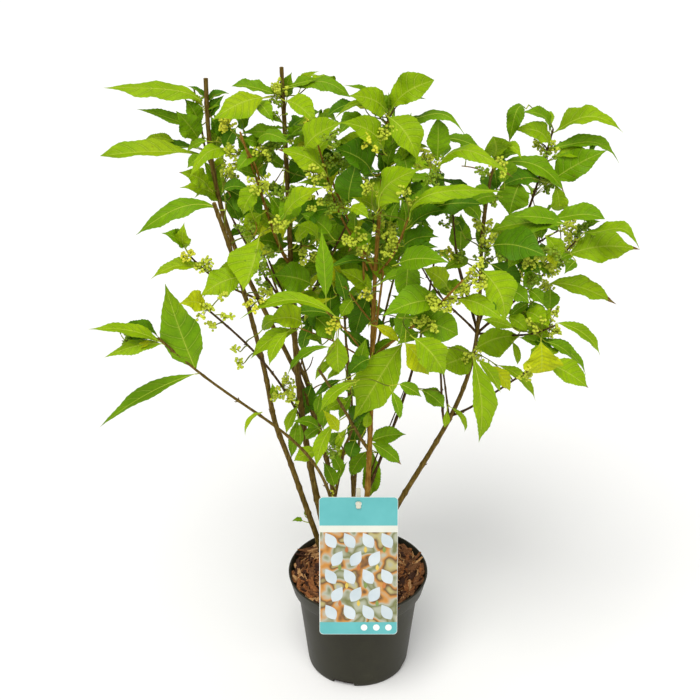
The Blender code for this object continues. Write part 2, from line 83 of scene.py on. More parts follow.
NODES = sorted(frame["nodes"])
rng = random.Random(20)

# =============================================================================
# The view of the photograph
# =============================================================================
EYE = np.array((-11.0, -1597.0, 1354.0))
RIGHT = np.array((1.0, 0.0, 0.0))
UP = np.array((0.0, 0.4756, 0.8796))
AHEAD = np.array((0.0, 0.8796, -0.4756))
FOCAL = 1443.0  # in pixels of the 700 pixel frame


def seen(u, v, y):
    """The point (mm) seen at pixel (u, v) at depth y."""
    t = (y - EYE[1]) / (AHEAD[1] + UP[1] * (350.0 - v) / FOCAL)
    return np.array((EYE[0] + t * (u - 350.0) / FOCAL, y, EYE[2] + t * (AHEAD[2] + UP[2] * (350.0 - v) / FOCAL)))


def pixel(p):
    d = np.asarray(p, float) - EYE
    ahead = d @ AHEAD
    return 350.0 + FOCAL * (d @ RIGHT) / ahead, 350.0 - FOCAL * (d @ UP) / ahead


def unit(v):
    v = np.asarray(v, float)
    n = np.linalg.norm(v)
    return v / n if n > 1e-9 else np.array((0.0, 0.0, 1.0))


def lerp(a, b, t):
    return a + (b - a) * t


# =============================================================================
# Bags: many small surfaces, joined kind by kind
# =============================================================================
class Bag:
    """Collects surfaces of one kind, in mm, and makes them one mesh."""

    def __init__(self, name):
        self.name = name
        self.verts, self.faces, self.uvs = [], [], []
        self.count = 0

    def add(self, verts, faces, uvs=None):
        verts = np.asarray(verts, float).reshape(-1, 3)
        faces = np.asarray(faces, int)
        self.verts.append(verts)
        self.faces.append(faces + self.count)
        if uvs is None:
            uvs = np.zeros((len(verts), 2))
        self.uvs.append(np.asarray(uvs, float).reshape(-1, 2))
        self.count += len(verts)

    def triangles(self):
        return sum(len(f) * (f.shape[1] - 2) for f in self.faces)

    def make(self, material, smooth=True):
        verts = np.concatenate(self.verts) * MM
        mesh = bpy.data.meshes.new(self.name)
        loops = np.concatenate([f.ravel() for f in self.faces])
        sizes = np.concatenate([np.full(len(f), f.shape[1]) for f in self.faces])
        starts = np.concatenate([[0], np.cumsum(sizes)[:-1]])
        mesh.vertices.add(len(verts))
        mesh.vertices.foreach_set("co", verts.ravel())
        mesh.loops.add(len(loops))
        mesh.loops.foreach_set("vertex_index", loops)
        mesh.polygons.add(len(sizes))
        mesh.polygons.foreach_set("loop_start", starts)
        mesh.polygons.foreach_set("loop_total", sizes)
        mesh.polygons.foreach_set("use_smooth", np.full(len(sizes), smooth))
        layer = mesh.uv_layers.new(name="UVMap")
        uv = np.concatenate(self.uvs)[loops]
        layer.data.foreach_set("uv", uv.ravel())
        mesh.update(calc_edges=True)
        mesh.validate()
        mesh.materials.append(material)
        obj = bpy.data.objects.new(self.name, mesh)
        bpy.context.scene.collection.objects.link(obj)
        return obj


BAGS = {}


def bag(name):
    if name not in BAGS:
        BAGS[name] = Bag(name)
    return BAGS[name]


def frames_along(points):
    """Tangents and two side directions that turn as little as possible."""
    tang = np.gradient(points, axis=0)
    tang /= np.linalg.norm(tang, axis=1)[:, None] + 1e-12
    side = np.empty_like(points)
    s = np.cross(tang[0], (0.0, 1.0, 0.0) if abs(tang[0][1]) < 0.8 else (1.0, 0.0, 0.0))
    side[0] = unit(s)
    for i in range(1, len(points)):
        s = side[i - 1] - tang[i] * (side[i - 1] @ tang[i])
        side[i] = unit(s)
    return tang, side, np.cross(tang, side)


def tube(where, points, radii, sides=6, wobble=None, caps=True):
    """A tube along points (mm). wobble holds a radius factor for each ring and side."""
    points = np.asarray(points, float)
    n = len(points)
    _, a, b = frames_along(points)
    ang = np.arange(sides) * (2 * math.pi / sides)
    ring = a[:, None, :] * np.cos(ang)[None, :, None] + b[:, None, :] * np.sin(ang)[None, :, None]
    r = np.asarray(radii, float)[:, None]
    if wobble is not None:
        r = r * wobble
    verts = points[:, None, :] + ring * (r[..., None] if r.ndim == 2 else r)
    idx = np.arange(n * sides).reshape(n, sides)
    q = np.stack([idx[:-1], np.roll(idx, -1, axis=1)[:-1], np.roll(idx, -1, axis=1)[1:], idx[1:]], axis=-1).reshape(-1, 4)
    along = np.concatenate([[0.0], np.cumsum(np.linalg.norm(np.diff(points, axis=0), axis=1))])
    uv = np.stack(np.broadcast_arrays(ang[None, :] / (2 * math.pi), along[:, None] / 100.0), axis=-1)
    store = bag(where)
    store.add(verts, q, uv)
    if caps:
        for k, p, turn in ((0, points[0], -1), (n - 1, points[-1], 1)):
            rim = verts[k][::turn]
            store.add(np.vstack([rim, p[None]]), [(i, (i + 1) % sides, sides) for i in range(sides)])


# =============================================================================
# Limbs: the same rule and sizes as the solids, carried on inside the leaves
# =============================================================================
BARK_LEVEL = 138.3
LIMBS = {
    # name: start, tip, bow, sway, peak, radii, kind of bark
    "stem_far_left": ((-45.5, 36), (-163, -100, 731), (-6, 16, 3), (-4.5, 2, 0), 0.55, (4.2, 2.4), "olive"),
    "stem_cut_left": ((-17, 17), (-182, 60, 824), (-6, -5, 0), (20, -1, 6), 0.55, (3.5, 2.7), "olive"),
    "stem_cut_centre": ((-34, 22), (-90, 20, 850), (-19, 0, -2), (-4, 0, 0), 0.5, (5.0, 2.4), "olive"),
    "stem_centre": ((4.5, 1), (32, -40, 806), (-2, 5, 0), (3, 0, 0), 0.5, (4.4, 2.0), "russet"),
    "stem_right": ((17, 31), (154, -20, 737), (42.5, 6, -10), (14, 2, -3), 0.65, (4.4, 1.7), "olive"),
    "stem_low_left": ((-25, -14), (-239, -80, 550), (53, 9, 24), (15, 1, 7.5), 0.55, (2.6, 1.4), "olive"),
    "stem_back": ((-3, 33), (-27, 160, 606), (2, -13, 3), (-1, 2, -1), 0.35, (2.5, 1.3), "olive"),
    "stem_back_right": ((-5, 54), (62, 170, 573), (-18, -12, 5), (-1, -1, 0), 0.45, (2.5, 1.3), "olive"),
    "stem_back_left": ((-28, 54), (-128, 150, 560), (18, -10, 6), (-4, 2, -2), 0.35, (2.3, 1.2), "olive"),
    "bough_front_left": (("stem_cut_centre", 0.31), (-181, -130, 621), (7, 12, 9), (0, -2, -2), 0.35, (1.9, 1.2), "plum"),
    "bough_left": (("stem_cut_centre", 0.55), (-196, -70, 651), (-9, 5, -5), (2, 1, 2), 0.45, (1.8, 1.2), "plum"),
    "bough_back_left": (("stem_cut_centre", 0.54), (-169, 130, 626), (-2, -7, 5), (1, 0, 0), 0.35, (1.8, 1.2), "plum"),
    "bough_front_centre": (("stem_centre", 0.31), (-48, -100, 518), (-3, 6, 2), (0, -1, -1), 0.35, (2.2, 1.6), "olive"),
    "bough_back_centre": (("stem_centre", 0.21), (103, 150, 560), (10, -13, 3), (-4, 1, 0), 0.35, (2.3, 1.3), "plum"),
    "bough_front_right": (("stem_centre", 0.52), (113, -160, 664), (8, 7, 1), (-2, 0, 1), 0.35, (1.9, 1.2), "russet"),
    "bough_low_side": (("stem_right", 0.43), (201, -120, 530), (9, 5, -2), (0, 0, -1), 0.35, (1.8, 1.2), "plum"),
    "bough_droop": (("stem_right", 0.40), (91, -100, 559), (-1, 5, 3), (-1, 0, -1), 0.35, (1.7, 1.2), "plum"),
    "twig_top_left": (("stem_cut_left", 0.85), (-199, 80, 806), (-3, -2, 0), (-1, 0, 0), 0.35, (1.6, 0.9), "plum"),
    "bough_upper_left": (("stem_cut_centre", 0.65), (-134, -60, 800), (-6, 6, 0), (-1, -1, -1), 0.35, (2.3, 1.2), "russet"),
    "bough_centre_left": (("stem_centre", 0.70), (-50, 30, 764), (-3, -5, 0), (2, 1, 0), 0.35, (2.2, 1.2), "russet"),
    "bough_centre_right": (("stem_centre", 0.70), (64, 110, 620), (7, -3, 0), (0, 0, 0), 0.35, (1.8, 1.0), "russet"),
    "bough_right_back": (("stem_right", 0.64), (119, 110, 634), (-5, -7, 4), (3, 0, 0), 0.35, (1.8, 1.0), "plum"),
    "bough_right_front": (("stem_right", 0.64), (71, -100, 652), (-6, 5, 0), (2, 0, 1), 0.35, (1.7, 0.9), "plum"),
    "bough_top_right": (("stem_right", 0.66), (234, 60, 761), (4, -5, 0), (-3, 1, 1), 0.35, (2.3, 1.2), "plum"),
    "bough_right": (("stem_right", 0.64), (257, -30, 654), (3, 3, -2), (-1, 0, 1), 0.35, (1.9, 1.0), "plum"),
    "bough_right_shoulder": (("bough_top_right", 0.32), (227, -80, 689), (3, 4, 2), (0, 0, 0), 0.35, (1.7, 0.9), "plum"),
    "bough_low_right": (("stem_right", 0.64), (226, -120, 588), (10, 2, -7), (-2, 1, 2), 0.35, (1.7, 0.9), "plum"),
}
KINKS = {"stem_far_left": (0.42, 0.09, -4.5)}  # where along it, how long, how far in x
CUT_TOPS = ("stem_cut_left", "stem_cut_centre")
FLARE, FLARE_HEIGHT = 1.9, 11.0


def limb_curve(name, shares):
    start, tip, bow, sway, peak, _, _ = LIMBS[name]
    if isinstance(start[0], str):
        foot = limb_curve(start[0], np.array([start[1]]))[0]
    else:
        foot = np.array((start[0], start[1], BARK_LEVEL))
    phase = math.pi * shares ** (math.log(0.5) / math.log(peak))
    chord = foot[None] + (np.array(tip, float) - foot)[None] * shares[:, None]
    if name in KINKS:
        at, reach, aside = KINKS[name]
        chord[:, 0] += aside * np.exp(-(((shares - at) / reach) ** 2))
    return chord + np.array(bow, float)[None] * np.sin(phase)[:, None] + np.array(sway, float)[None] * np.sin(2 * phase)[:, None]


class Shoot:
    """A limb or twig: points and radii in mm, its bark, where it grows from and how far along it is used."""

    def __init__(self, name, points, radii, kind):
        self.name, self.points, self.radii, self.kind = name, np.asarray(points, float), np.asarray(radii, float), kind
        step = np.linalg.norm(np.diff(self.points, axis=0), axis=1)
        self.along = np.concatenate([[0.0], np.cumsum(step)])
        self.length = self.along[-1]
        self.parent, self.used = None, self.length

    def at(self, s):
        return np.array([np.interp(s, self.along, self.points[:, k]) for k in range(3)])

    def radius(self, s):
        return float(np.interp(s, self.along, self.radii))

    def way(self, s):
        return unit(self.at(min(s + 2.0, self.length)) - self.at(max(s - 2.0, 0.0)))


SHOOTS = []
for name, row in LIMBS.items():
    rough = limb_curve(name, np.linspace(0.0, 1.0, 90))
    length = np.linalg.norm(np.diff(rough, axis=0), axis=1).sum()
    shares = np.linspace(0.0, 1.0, int(length / 2.6) + 2)
    thick, thin = row[5]
    radii = thick + (thin - thick) * shares**0.8
    if not isinstance(row[0][0], str):
        radii = radii + FLARE * np.exp(-shares * length / FLARE_HEIGHT)
    SHOOTS.append(Shoot(name, limb_curve(name, shares), radii, row[6]))


def smooth_path(corners, step=4.0):
    """A rounded path through corner points."""
    pts = [np.asarray(p, float) for p in corners]
    pts = [2 * pts[0] - pts[1]] + pts + [2 * pts[-1] - pts[-2]]
    out = []
    for p0, p1, p2, p3 in zip(pts, pts[1:], pts[2:], pts[3:]):
        n = max(2, int(np.linalg.norm(p2 - p1) / step))
        for t in np.arange(n) / n:
            out.append(0.5 * (2 * p1 + (p2 - p0) * t + (2 * p0 - 5 * p1 + 4 * p2 - p3) * t * t + (3 * p1 - p0 - 3 * p2 + p3) * t**3))
    out.append(pts[-2])
    return np.array(out)


# twigs that show between the leaves: pixels and depths of their corners, thickness, bark
TWIGS = {
    "twig_a": (((303, 388, -10), (300, 370, -20), (306, 347, -30)), (1.3, 0.7), "plum"),
    "twig_b": (((300, 271, 25), (301, 250, 20), (301, 230, 15)), (1.0, 0.7), "plum"),
    "twig_c": (((307, 303, 20), (325, 268, 0), (350, 218, -25)), (1.7, 1.0), "plum"),
    "twig_d": (((370, 363, -10), (350, 335, -50), (326, 311, -95)), (1.3, 0.9), "russet"),
    "twig_e": (((370, 362, -10), (335, 342, -45), (297, 327, -85)), (1.2, 0.8), "russet"),
    "twig_f": (((344, 451, 10), (352, 450, 8), (362, 448, 3)), (1.1, 0.8), "olive"),
    "twig_g": (((393, 342, -30), (399, 325, -45), (407, 306, -55)), (1.1, 0.7), "plum"),
    "twig_h": (((367, 486, 2), (377, 455, 4), (391, 423, 10), (405, 388, 14)), (1.1, 0.7), "plum"),
    "twig_i": (((305, 372, 22), (310, 366, 15), (313, 357, 5)), (0.8, 0.6), "plum"),
    "twig_j": (((335, 497, 12), (344, 451, 2), (352, 427, -15), (351, 390, -18), (347, 345, -20)), (2.4, 1.1), "olive"),
    "twig_k": (((344, 451, 2), (339, 441, -5), (335, 435, -12)), (1.2, 0.8), "olive"),
    "twig_l": (((370, 320, -20), (358, 305, -30), (345, 286, -45)), (1.1, 0.8), "russet"),
    "twig_m": (((364, 290, -25), (362, 250, -35), (354, 240, -50)), (1.3, 0.9), "russet"),
    "twig_n": (((378, 275, -25), (394, 253, -60), (409, 217, -110)), (1.7, 1.1), "russet"),
    "twig_o": (((367, 270, -25), (355, 243, -35), (336, 205, -50), (318, 145, -60)), (1.7, 0.9), "russet"),
    "twig_p": (((262, 190, -25), (255, 165, -40), (240, 137, -55)), (1.5, 0.9), "russet"),
    "twig_q": (((485, 290, -30), (481, 240, -35), (488, 190, -40), (495, 160, -45)), (1.6, 0.9), "olive"),
    "twig_r": (((449, 418, -5), (444, 378, -30), (439, 345, -55)), (1.4, 0.9), "plum"),
    "twig_w": (((373, 352, -34), (379, 305, -42), (384, 266, -46)), (1.7, 1.2), "russet"),
    "twig_x": (((298, 362, 34), (304, 376, 34), (311, 396, 30)), (2.4, 2.2), "olive"),
    "twig_v": (((464, 284, -40), (457, 255, -44), (452, 205, -50)), (1.2, 0.8), "plum"),
    "twig_z": (((269, 261, -24), (277, 280, -20), (287, 301, -12)), (1.3, 1.0), "plum"),
    "twig_y": (((250, 246, -20), (262, 270, -22), (274, 297, -18)), (1.4, 1.1), "plum"),
    "twig_t": (((226, 207, 46), (236, 225, 40), (249, 249, 30)), (1.3, 0.9), "plum"),
    "twig_u": (((318, 195, -10), (312, 180, -30), (308, 168, -50)), (0.9, 0.6), "plum"),
}
for name, (corners, (r0, r1), kind) in TWIGS.items():
    path = smooth_path([seen(*c) for c in corners])
    SHOOTS.append(Shoot(name, path, np.linspace(r0, r1, len(path)), kind))

# =============================================================================
# Leaves that show in the photograph
# =============================================================================
# u, v of the blade's foot; u, v of its tip; length from foot to tip and width (mm);
# how far its face turns from the sky (0) to the viewer (1); arch (mm); shade; depth y.
# A negative length points away from the viewer. Depth None: that of the nearest limb.
# Some rows go on with the fold along the midrib (below 0: the halves fall away), a skew
# that makes one half wider than the other, a sideways bend (mm), the share that is dry,
# where the arch is highest (peak below 0.85: nearer the foot), and "front" for a leaf that
# hangs before the wood of the next table.
L, M, D, Y = "light", "mid", "deep", "gold"
SEEN = [
    # top left
    (204, 108, 103, 87, 104, 28, 0.5, 17, L, 60, {"fold": -0.2, "peak": 0.55, "skew": -0.1}), (199, 124, 185, 99, 34, 22, 0.8, 3, M, 60), (198, 139, 176, 111, 48, 30, 0.9, 3, M, 57), (196, 129, 137, 108, 62, 16, 0.55, 0, M, 62), (203, 155, 100, 156, 104, -26, 0.4, 3, L, 55, {"skew": 0.1}), (207, 141, 186, 151, 28, 14, 0.6, 2, M, 50), (205, 157, 187, 168, 26, 14, 0.7, 3, M, 35),
    (199, 149, 119, 147, 90, 20, 0.3, 4, D, 75), (176, 143, 143, 139, 38, 14, 0.5, 5, L, 78), (237, 153, 188, 180, 80, 21, 0.65, 23, L, -5, {"fold": -0.3, "peak": 1.0, "front": 1}), (220, 199, 203, 160, 52, 22, 0.85, 5, M, 30),
    (220, 202, 181, 187, 58, 26, 0.75, 8, L, 22), (208, 187, 180, 172, 44, 24, 0.8, 5, L, 30), (219, 210, 135, 235, 100, 28, 0.5, 20, M, -60, {"fold": -0.2, "peak": 0.7}),
    (185, 247, 164, 233, 44, 21, 0.85, 4, M, -70), (185, 248, 183, 225, 34, 20, 0.85, 3, L, -75), (205, 271, 150, 279, 66, 18, 0.45, 12, L, -78, {"peak": 0.85}),
    (259, 238, 243, 291, 80, 38, 0.95, -5, L, -90, {"fold": -0.3, "skew": 0.65, "front": 1}), (244, 277, 200, 296, 62, 36, 0.9, 6, L, -85, {"fold": -0.3, "front": 1}), (281, 97, 232, 84, 56, -20, 0.45, 2, M, 20), (284, 135, 241, 133, 52, 20, 0.75, 3, M, -15), (246, 152, 236, 133, 28, 16, 0.85, 3, M, -10), (290, 140, 303, 126, 26, 14, 0.8, 3, M, -10),
    (264, 98, 212, 120, 68, 34, 0.9, 8, L, -20, {"skew": -0.3}), (257, 102, 273, 121, 40, 17, 0.85, 5, M, -10), (256, 109, 283, 123, 36, 11, 0.7, 2, M, 0), (256, 150, 292, 144, 62, 24, 0.5, 17, M, -30, {"fold": -0.3}),
    (224, 137, 214, 115, 34, 20, 0.7, 4, D, 20), (216, 150, 206, 128, 34, 20, 0.8, 4, M, 35), (206, 104, 187, 85, 32, 8, 0.3, 5, D, 70),
    (207, 104, 228, 92, 30, 13, 0.4, 4, D, 65), (236, 128, 224, 150, 32, 18, 0.85, 3, D, 20), (206, 112, 219, 105, 22, 14, 0.6, 3, M, 60), (222, 158, 204, 150, 36, 16, 0.6, 4, D, 40), (209, 119, 224, 95, 36, 15, 0.85, 3, D, 40), (217, 134, 211, 117, 24, 13, 0.85, 2, D, 20), (259, 233, 240, 234, 24, 9, 0.7, 2, M, -30),
    (228, 190, 262, 222, 50, 38, 0.9, 6, D, -40), (222, 192, 250, 189, 44, 17, 0.6, 5, D, -20), (263, 186, 242, 216, 44, 22, 0.8, 8, L, -70),
    (262, 152, 236, 172, 44, 20, 0.8, 6, M, -30), (270, 196, 286, 232, 40, 24, 0.8, 6, M, -50), (262, 214, 246, 232, 30, 20, 0.8, 4, L, -55),
    (285, 217, 323, 187, 64, 24, 0.75, 8, L, -80), (298, 224, 331, 208, 48, 34, 0.85, 6, D, -45), (272, 231, 248, 212, 44, 20, 0.8, 5, L, -60),
    (297, 243, 316, 226, 34, 16, 0.8, 4, L, -60), (320, 241, 338, 223, 34, 20, 0.8, 4, M, -40), (350, 208, 369, 218, 32, 16, 0.8, 4, L, -90),
    (377, 213, 352, 197, 42, 18, 0.8, 6, L, -50), (376, 145, 331, 145, 64, 25, 0.85, 3, L, 30), (292, 131, 303, 118, 30, 20, 0.8, 3, D, 10),
    (243, 130, 232, 112, 34, 24, 0.85, 4, M, 20), (220, 132, 232, 118, 30, 20, 0.85, 3, M, 40),
    (246, 263, 214, 277, 42, 17, 0.95, 3, L, -62, {"front": 1}), (226, 200, 240, 222, 32, 16, 0.9, 3, D, -10), (262, 330, 282, 318, 34, 18, 0.8, 4, L, -70),
    (246, 152, 262, 178, 44, 20, 0.7, 5, M, -20), (262, 146, 242, 139, 28, 15, 0.9, 2, M, -25), (257, 177, 236, 169, 28, 13, 0.85, 2, M, -30), (284, 168, 263, 158, 30, 15, 0.8, 3, M, -20), (284, 196, 266, 188, 26, 14, 0.85, 2, D, -10), (290, 160, 306, 176, 36, 22, 0.8, 4, D, -10), (310, 190, 290, 204, 34, 18, 0.8, 4, M, -30), (332, 186, 298, 182, 42, 11, 0.8, 3, M, -60),
    # top centre
    (287, 98, 292, 72, 34, 18, 0.8, 3, M, 10), (300, 90, 316, 71, 34, 14, 0.75, 3, L, 5), (289, 88, 350, 96, 76, -19, 0.6, 13, M, 0, {"fold": -0.3, "peak": 1.2}), (290, 86, 318, 79, 40, 14, 0.7, 1, M, 5),
    (286, 101, 317, 125, 54, 22, 0.85, 6, L, -40, {"skew": -0.3}), (305, 148, 343, 122, 56, 32, 0.9, 6, L, -70), (357, 105, 326, 117, 42, 15, 0.7, 5, D, -20),
    (388, 114, 345, 83, 64, 17, 0.4, 6, M, -35), (372, 113, 335, 117, 46, 9, 0.6, 14, L, -45), (387, 113, 350, 95, 54, 34, 0.85, 6, L, -45, {"skew": -0.25}), (391, 112, 434, 80, 64, -33, 0.9, 8, L, -45, {"skew": -0.15}), (389, 111, 389, 93, 22, 8, 0.8, 1, M, -38),
    (400, 96, 427, 99, 40, 6, 0.6, 1, M, -38), (396, 119, 467, 138, 92, 18, 0.6, 24, M, -40, {"fold": -0.2, "peak": 1.65}), (383, 151, 341, 122, 70, 34, 0.9, 9, L, -70),
    (388, 117, 418, 161, 66, 34, 0.9, 9, L, -60), (437, 161, 438, 119, 50, -27, 0.95, 3, M, -60), (445, 138, 482, 149, 46, 16, 0.6, 3, M, -30),
    (436, 172, 512, 176, 106, 22, 0.6, 28, L, -70, {"fold": -0.3}), (371, 172, 334, 148, 62, 40, 0.9, 7, D, -55), (349, 201, 357, 161, 54, 36, 0.9, 5, D, -60),
    (327, 176, 277, 149, 66, 28, 0.7, 10, L, -75, {"fold": -0.4}), (311, 163, 286, 186, 44, 26, 0.8, 5, D, -40), (379, 208, 419, 169, 74, 40, 0.75, 13, L, -110, {"fold": -0.45}),
    # the second leaf here, a deep one behind the long light leaf, stands for that leaf's lower half in shade: its deep
    # tone is painted shade
    (409, 221, 504, 191, 108, 22, 0.5, 25, L, -115, {"fold": -0.3, "peak": 0.58}), (420, 214, 484, 204, 76, 30, 0.9, 6, D, -70), (412, 225, 446, 209, 46, 22, 0.5, 5, D, -95), (480, 221, 447, 198, 52, 22, 0.8, 7, M, -60),
    (460, 251, 461, 213, 46, 28, 0.95, 3, M, 20), (497, 197, 466, 207, 44, 26, 0.7, 5, M, -50), (365, 118, 338, 136, 44, 20, 0.6, 8, M, -40),
    (384, 150, 392, 120, 38, 20, 0.8, 4, M, -50), (384, 173, 378, 148, 32, 18, 0.85, 3, D, -40), (346, 226, 330, 213, 26, 14, 0.8, 3, D, -30), (378, 228, 362, 219, 26, 15, 0.8, 3, D, -30), (329, 178, 343, 166, 26, 13, 0.8, 3, D, -40), (292, 243, 298, 226, 26, 10, 0.8, 2, D, -20), (262, 178, 268, 162, 26, 12, 0.8, 2, D, 0), (388, 166, 396, 142, 30, 16, 0.9, 3, M, -50), (391, 222, 398, 202, 28, 14, 0.9, 3, M, -60), (405, 222, 401, 198, 32, 13, 0.85, 3, M, -90), (400, 150, 408, 176, 44, 26, 0.8, 4, M, -50), (404, 246, 437, 236, 52, 27, 0.75, 5, D, -80), (404, 254, 438, 247, 46, 18, 0.8, 5, D, -95), (462, 232, 449, 215, 26, 14, 0.85, 3, D, -20),
    (398, 264, 449, 262, 68, 32, 0.75, 6, M, -110, {"skew": 0.15}), (330, 235, 300, 213, 44, 24, 0.8, 5, M, -60), (336, 250, 352, 222, 40, 26, 0.8, 5, M, -40),
    (318, 240, 296, 224, 42, 18, 0.7, 6, L, -70), (372, 235, 348, 252, 46, 22, 0.7, 8, M, -60), (300, 205, 277, 222, 50, 26, 0.8, 8, M, -50),
    # centre
    (409, 258, 406, 303, 58, 31, 0.95, 3, M, -90), (442, 301, 382, 316, 78, 35, 0.8, 6, M, -110, {"skew": 0.12}), (367, 262, 328, 268, 50, 14, 0.4, 6, D, -60),
    (372, 293, 338, 269, 52, 22, 0.85, 5, L, -75), (326, 297, 321, 229, 84, 20, 0.95, 3, M, -100), (311, 284, 272, 275, 50, 42, 0.95, 5, M, -80, {"skew": -0.1}),
    (336, 317, 239, 318, 112, 18, 0.5, 24, L, -110), (331, 315, 292, 313, 46, 20, 0.6, 5, D, -80), (316, 318, 334, 341, 40, 26, 0.85, 4, M, -70),
    (313, 320, 302, 353, 46, 16, 0.8, 4, D, -60), (369, 295, 354, 340, 58, 28, 0.9, 4, D, -60), (371, 357, 340, 329, 58, 18, 0.7, 5, D, -25),
    (338, 337, 339, 375, 42, 27, 1.0, 3, L, -80), (370, 359, 347, 376, 40, 20, 0.7, 5, D, -50), (375, 326, 400, 342, 34, 14, 0.7, 4, Y, -60),
    (408, 306, 400, 341, 42, 20, 0.9, 3, M, -60), (402, 344, 353, 420, 108, 54, 1.0, 8, L, -165, {"skew": -0.05, "bend": -3, "fold": 0.16}), (405, 343, 430, 376, 52, 30, 0.9, 4, Y, -130),
    (414, 338, 446, 376, 62, 38, 0.95, 5, L, -145), (473, 355, 440, 367, 44, 40, 1.0, 2, L, -75), (391, 390, 401, 421, 38, 12, 0.8, 3, M, -120),
    (399, 384, 422, 397, 34, 16, 0.8, 3, M, -110), (421, 390, 445, 408, 38, 22, 0.9, 4, M, -20), (447, 410, 444, 429, 26, 9, 0.9, 2, L, -15),
    (450, 407, 466, 433, 44, 8, 0.6, 9, L, -15), (380, 284, 425, 278, 54, 16, 0.4, 9, M, -80), (302, 323, 268, 320, 46, 31, 0.9, 7, L, -85, {"skew": 0.15}),
    (298, 330, 250, 359, 66, 22, 0.6, 7, L, -95), (290, 330, 269, 366, 56, 16, 0.7, 7, L, -100), (330, 347, 286, 376, 64, 12, 0.4, 12, M, -90, {"front": 1}),
    (283, 252, 256, 240, 44, 26, 0.8, 6, M, -40), (300, 262, 288, 243, 34, 24, 0.8, 4, M, -30), (442, 287, 468, 294, 40, 20, 0.7, 4, M, -40),
    (447, 287, 423, 268, 42, 26, 0.85, 4, L, -70), (469, 259, 443, 270, 46, 18, 0.7, 4, M, -30), (451, 296, 432, 281, 30, 15, 0.85, 3, M, -60),
    (405, 318, 458, 334, 68, -39, 0.9, 6, M, -100, {"dry": 0.0}), (358, 372, 366, 338, 42, 22, 0.8, 4, M, -40),
    (384, 262, 400, 282, 40, 20, 0.8, 4, M, -50), (352, 300, 340, 318, 32, 16, 0.8, 4, M, -55), (345, 301, 335, 268, 40, 16, 0.85, 3, D, -40), (290, 262, 272, 270, 28, 13, 0.8, 3, M, -40), (322, 345, 306, 338, 34, 14, 0.7, 4, M, -60), (374, 357, 399, 338, 42, 14, 0.8, 4, M, -40), (419, 333, 397, 344, 36, 15, 0.85, 4, M, -70),
    (338, 360, 314, 380, 40, 11, 0.6, 5, L, -60), (346, 367, 326, 380, 32, 10, 0.6, 4, L, -60), (298, 406, 286, 434, 38, 13, 0.85, 3, L, 0), (322, 427, 304, 440, 30, 16, 0.9, 3, M, -10),
    (330, 400, 323, 430, 38, 16, 0.85, 4, M, -20), (322, 391, 317, 418, 32, 11, 0.8, 3, M, -20), (300, 423, 300, 448, 30, 10, 0.8, 3, M, 0), (347, 402, 326, 411, 32, 18, 0.9, 3, L, -30), (352, 394, 339, 420, 36, 12, 0.8, 4, M, -25),
    (466, 300, 480, 318, 30, 14, 0.8, 4, L, -60),
    # left
    (196, 371, 165, 284, 108, 47, 1.0, 3, M, None, {"fold": 0.22, "skew": -0.08, "bend": -2.5}), (162, 343, 88, 329, 92, 18, 0.55, 7, L, None), (163, 344, 104, 357, 76, 20, 0.5, 7, L, None, {"fold": -0.3}), (150, 339, 118, 352, 42, 16, 0.3, 6, D, -68),
    (158, 337, 120, 327, 50, 20, 0.3, 6, D, -60), (195, 374, 98, 427, 122, 21, 0.5, 9, M, None), (205, 307, 181, 303, 36, 25, 0.85, 4, Y, None),
    (262, 412, 244, 435, 44, 7, 0.4, 8, L, -55), (276, 400, 272, 383, 24, 11, 0.8, 3, L, -20),
    # right
    (549, 132, 522, 111, 48, 19, 0.55, 11, M, None), (526, 109, 509, 143, 52, 20, 0.65, 27, M, 55, {"peak": 0.6}), (549, 149, 512, 129, 56, 24, 0.75, 13, L, None), (553, 133, 623, 130, 86, 25, 0.5, 21, L, None, {"peak": 1.1}),
    (550, 148, 620, 162, 86, 20, 0.45, 17.5, M, None, {"peak": 1.3}), (551, 182, 607, 150, 78, 36, 1.0, 4, M, None, {"fold": 0.2}), (502, 163, 566, 193, 84, 27, 0.6, 17, M, 30, {"skew": 0.2}), (498, 160, 518, 153, 28, 12, 0.7, 3, M, -20), (512, 170, 494, 178, 30, 14, 0.8, 3, D, 25),
    (555, 184, 560, 212, 34, -22, 0.85, 3, L, 30), (548, 219, 605, 219, 70, -24, 0.55, 6.5, M, -20, {"peak": 1.6, "dry": 0.0}), (583, 229, 600, 221, 26, 12, 0.7, 2, M, -10), (480, 247, 476, 226, 26, 9, 0.8, 2, M, -30), (565, 225, 489, 229, 86, 33, 0.65, 7, M, -60, {"peak": 0.65}), (562, 222, 512, 216, 62, 22, 0.7, 4, M, -55),
    (535, 224, 561, 232, 36, 14, 0.5, 4, D, -20), (568, 255, 640, 249, 84, 40, 0.9, 7, L, None, {"fold": 0.2, "skew": 0.05}), (573, 254, 556, 262, 28, 13, 0.8, 3, M, -20), (585, 232, 640, 250, 80, 22, 0.5, 19.5, L, None, {"peak": 1.65}),
    (549, 284, 617, 304, 84, 28, 0.6, 8, L, None, {"peak": 0.75, "dry": 0.16}), (556, 323, 602, 355, 68, 17, 0.5, 10, L, None), (541, 338, 588, 376, 72, 15, 0.5, 9, M, -80),
    (546, 363, 589, 388, 62, 28, 0.9, 6, L, -110, {"fold": 0.2, "skew": -0.15}), (541, 342, 541, 373, 40, -44, 0.95, 3, Y, -120), (541, 344, 520, 337, 28, 13, 0.8, 2, M, -80), (497, 365, 537, 401, 64, 15, 0.5, 8, L, -80),
    (489, 366, 511, 392, 42, 18, 0.8, 4, Y, -90), (512, 341, 518, 366, 36, 9, 0.6, 5, L, -60), (533, 338, 552, 309, 46, 34, 0.9, 4, L, -70),
    (531, 340, 554, 353, 34, 13, 0.5, 4, D, -80), (546, 342, 574, 359, 42, 14, 0.6, 5, M, -85), (541, 181, 499, 187, 58, 24, 0.7, 7, D, 20), (520, 183, 509, 215, 46, 40, 0.95, 4, M, 0),
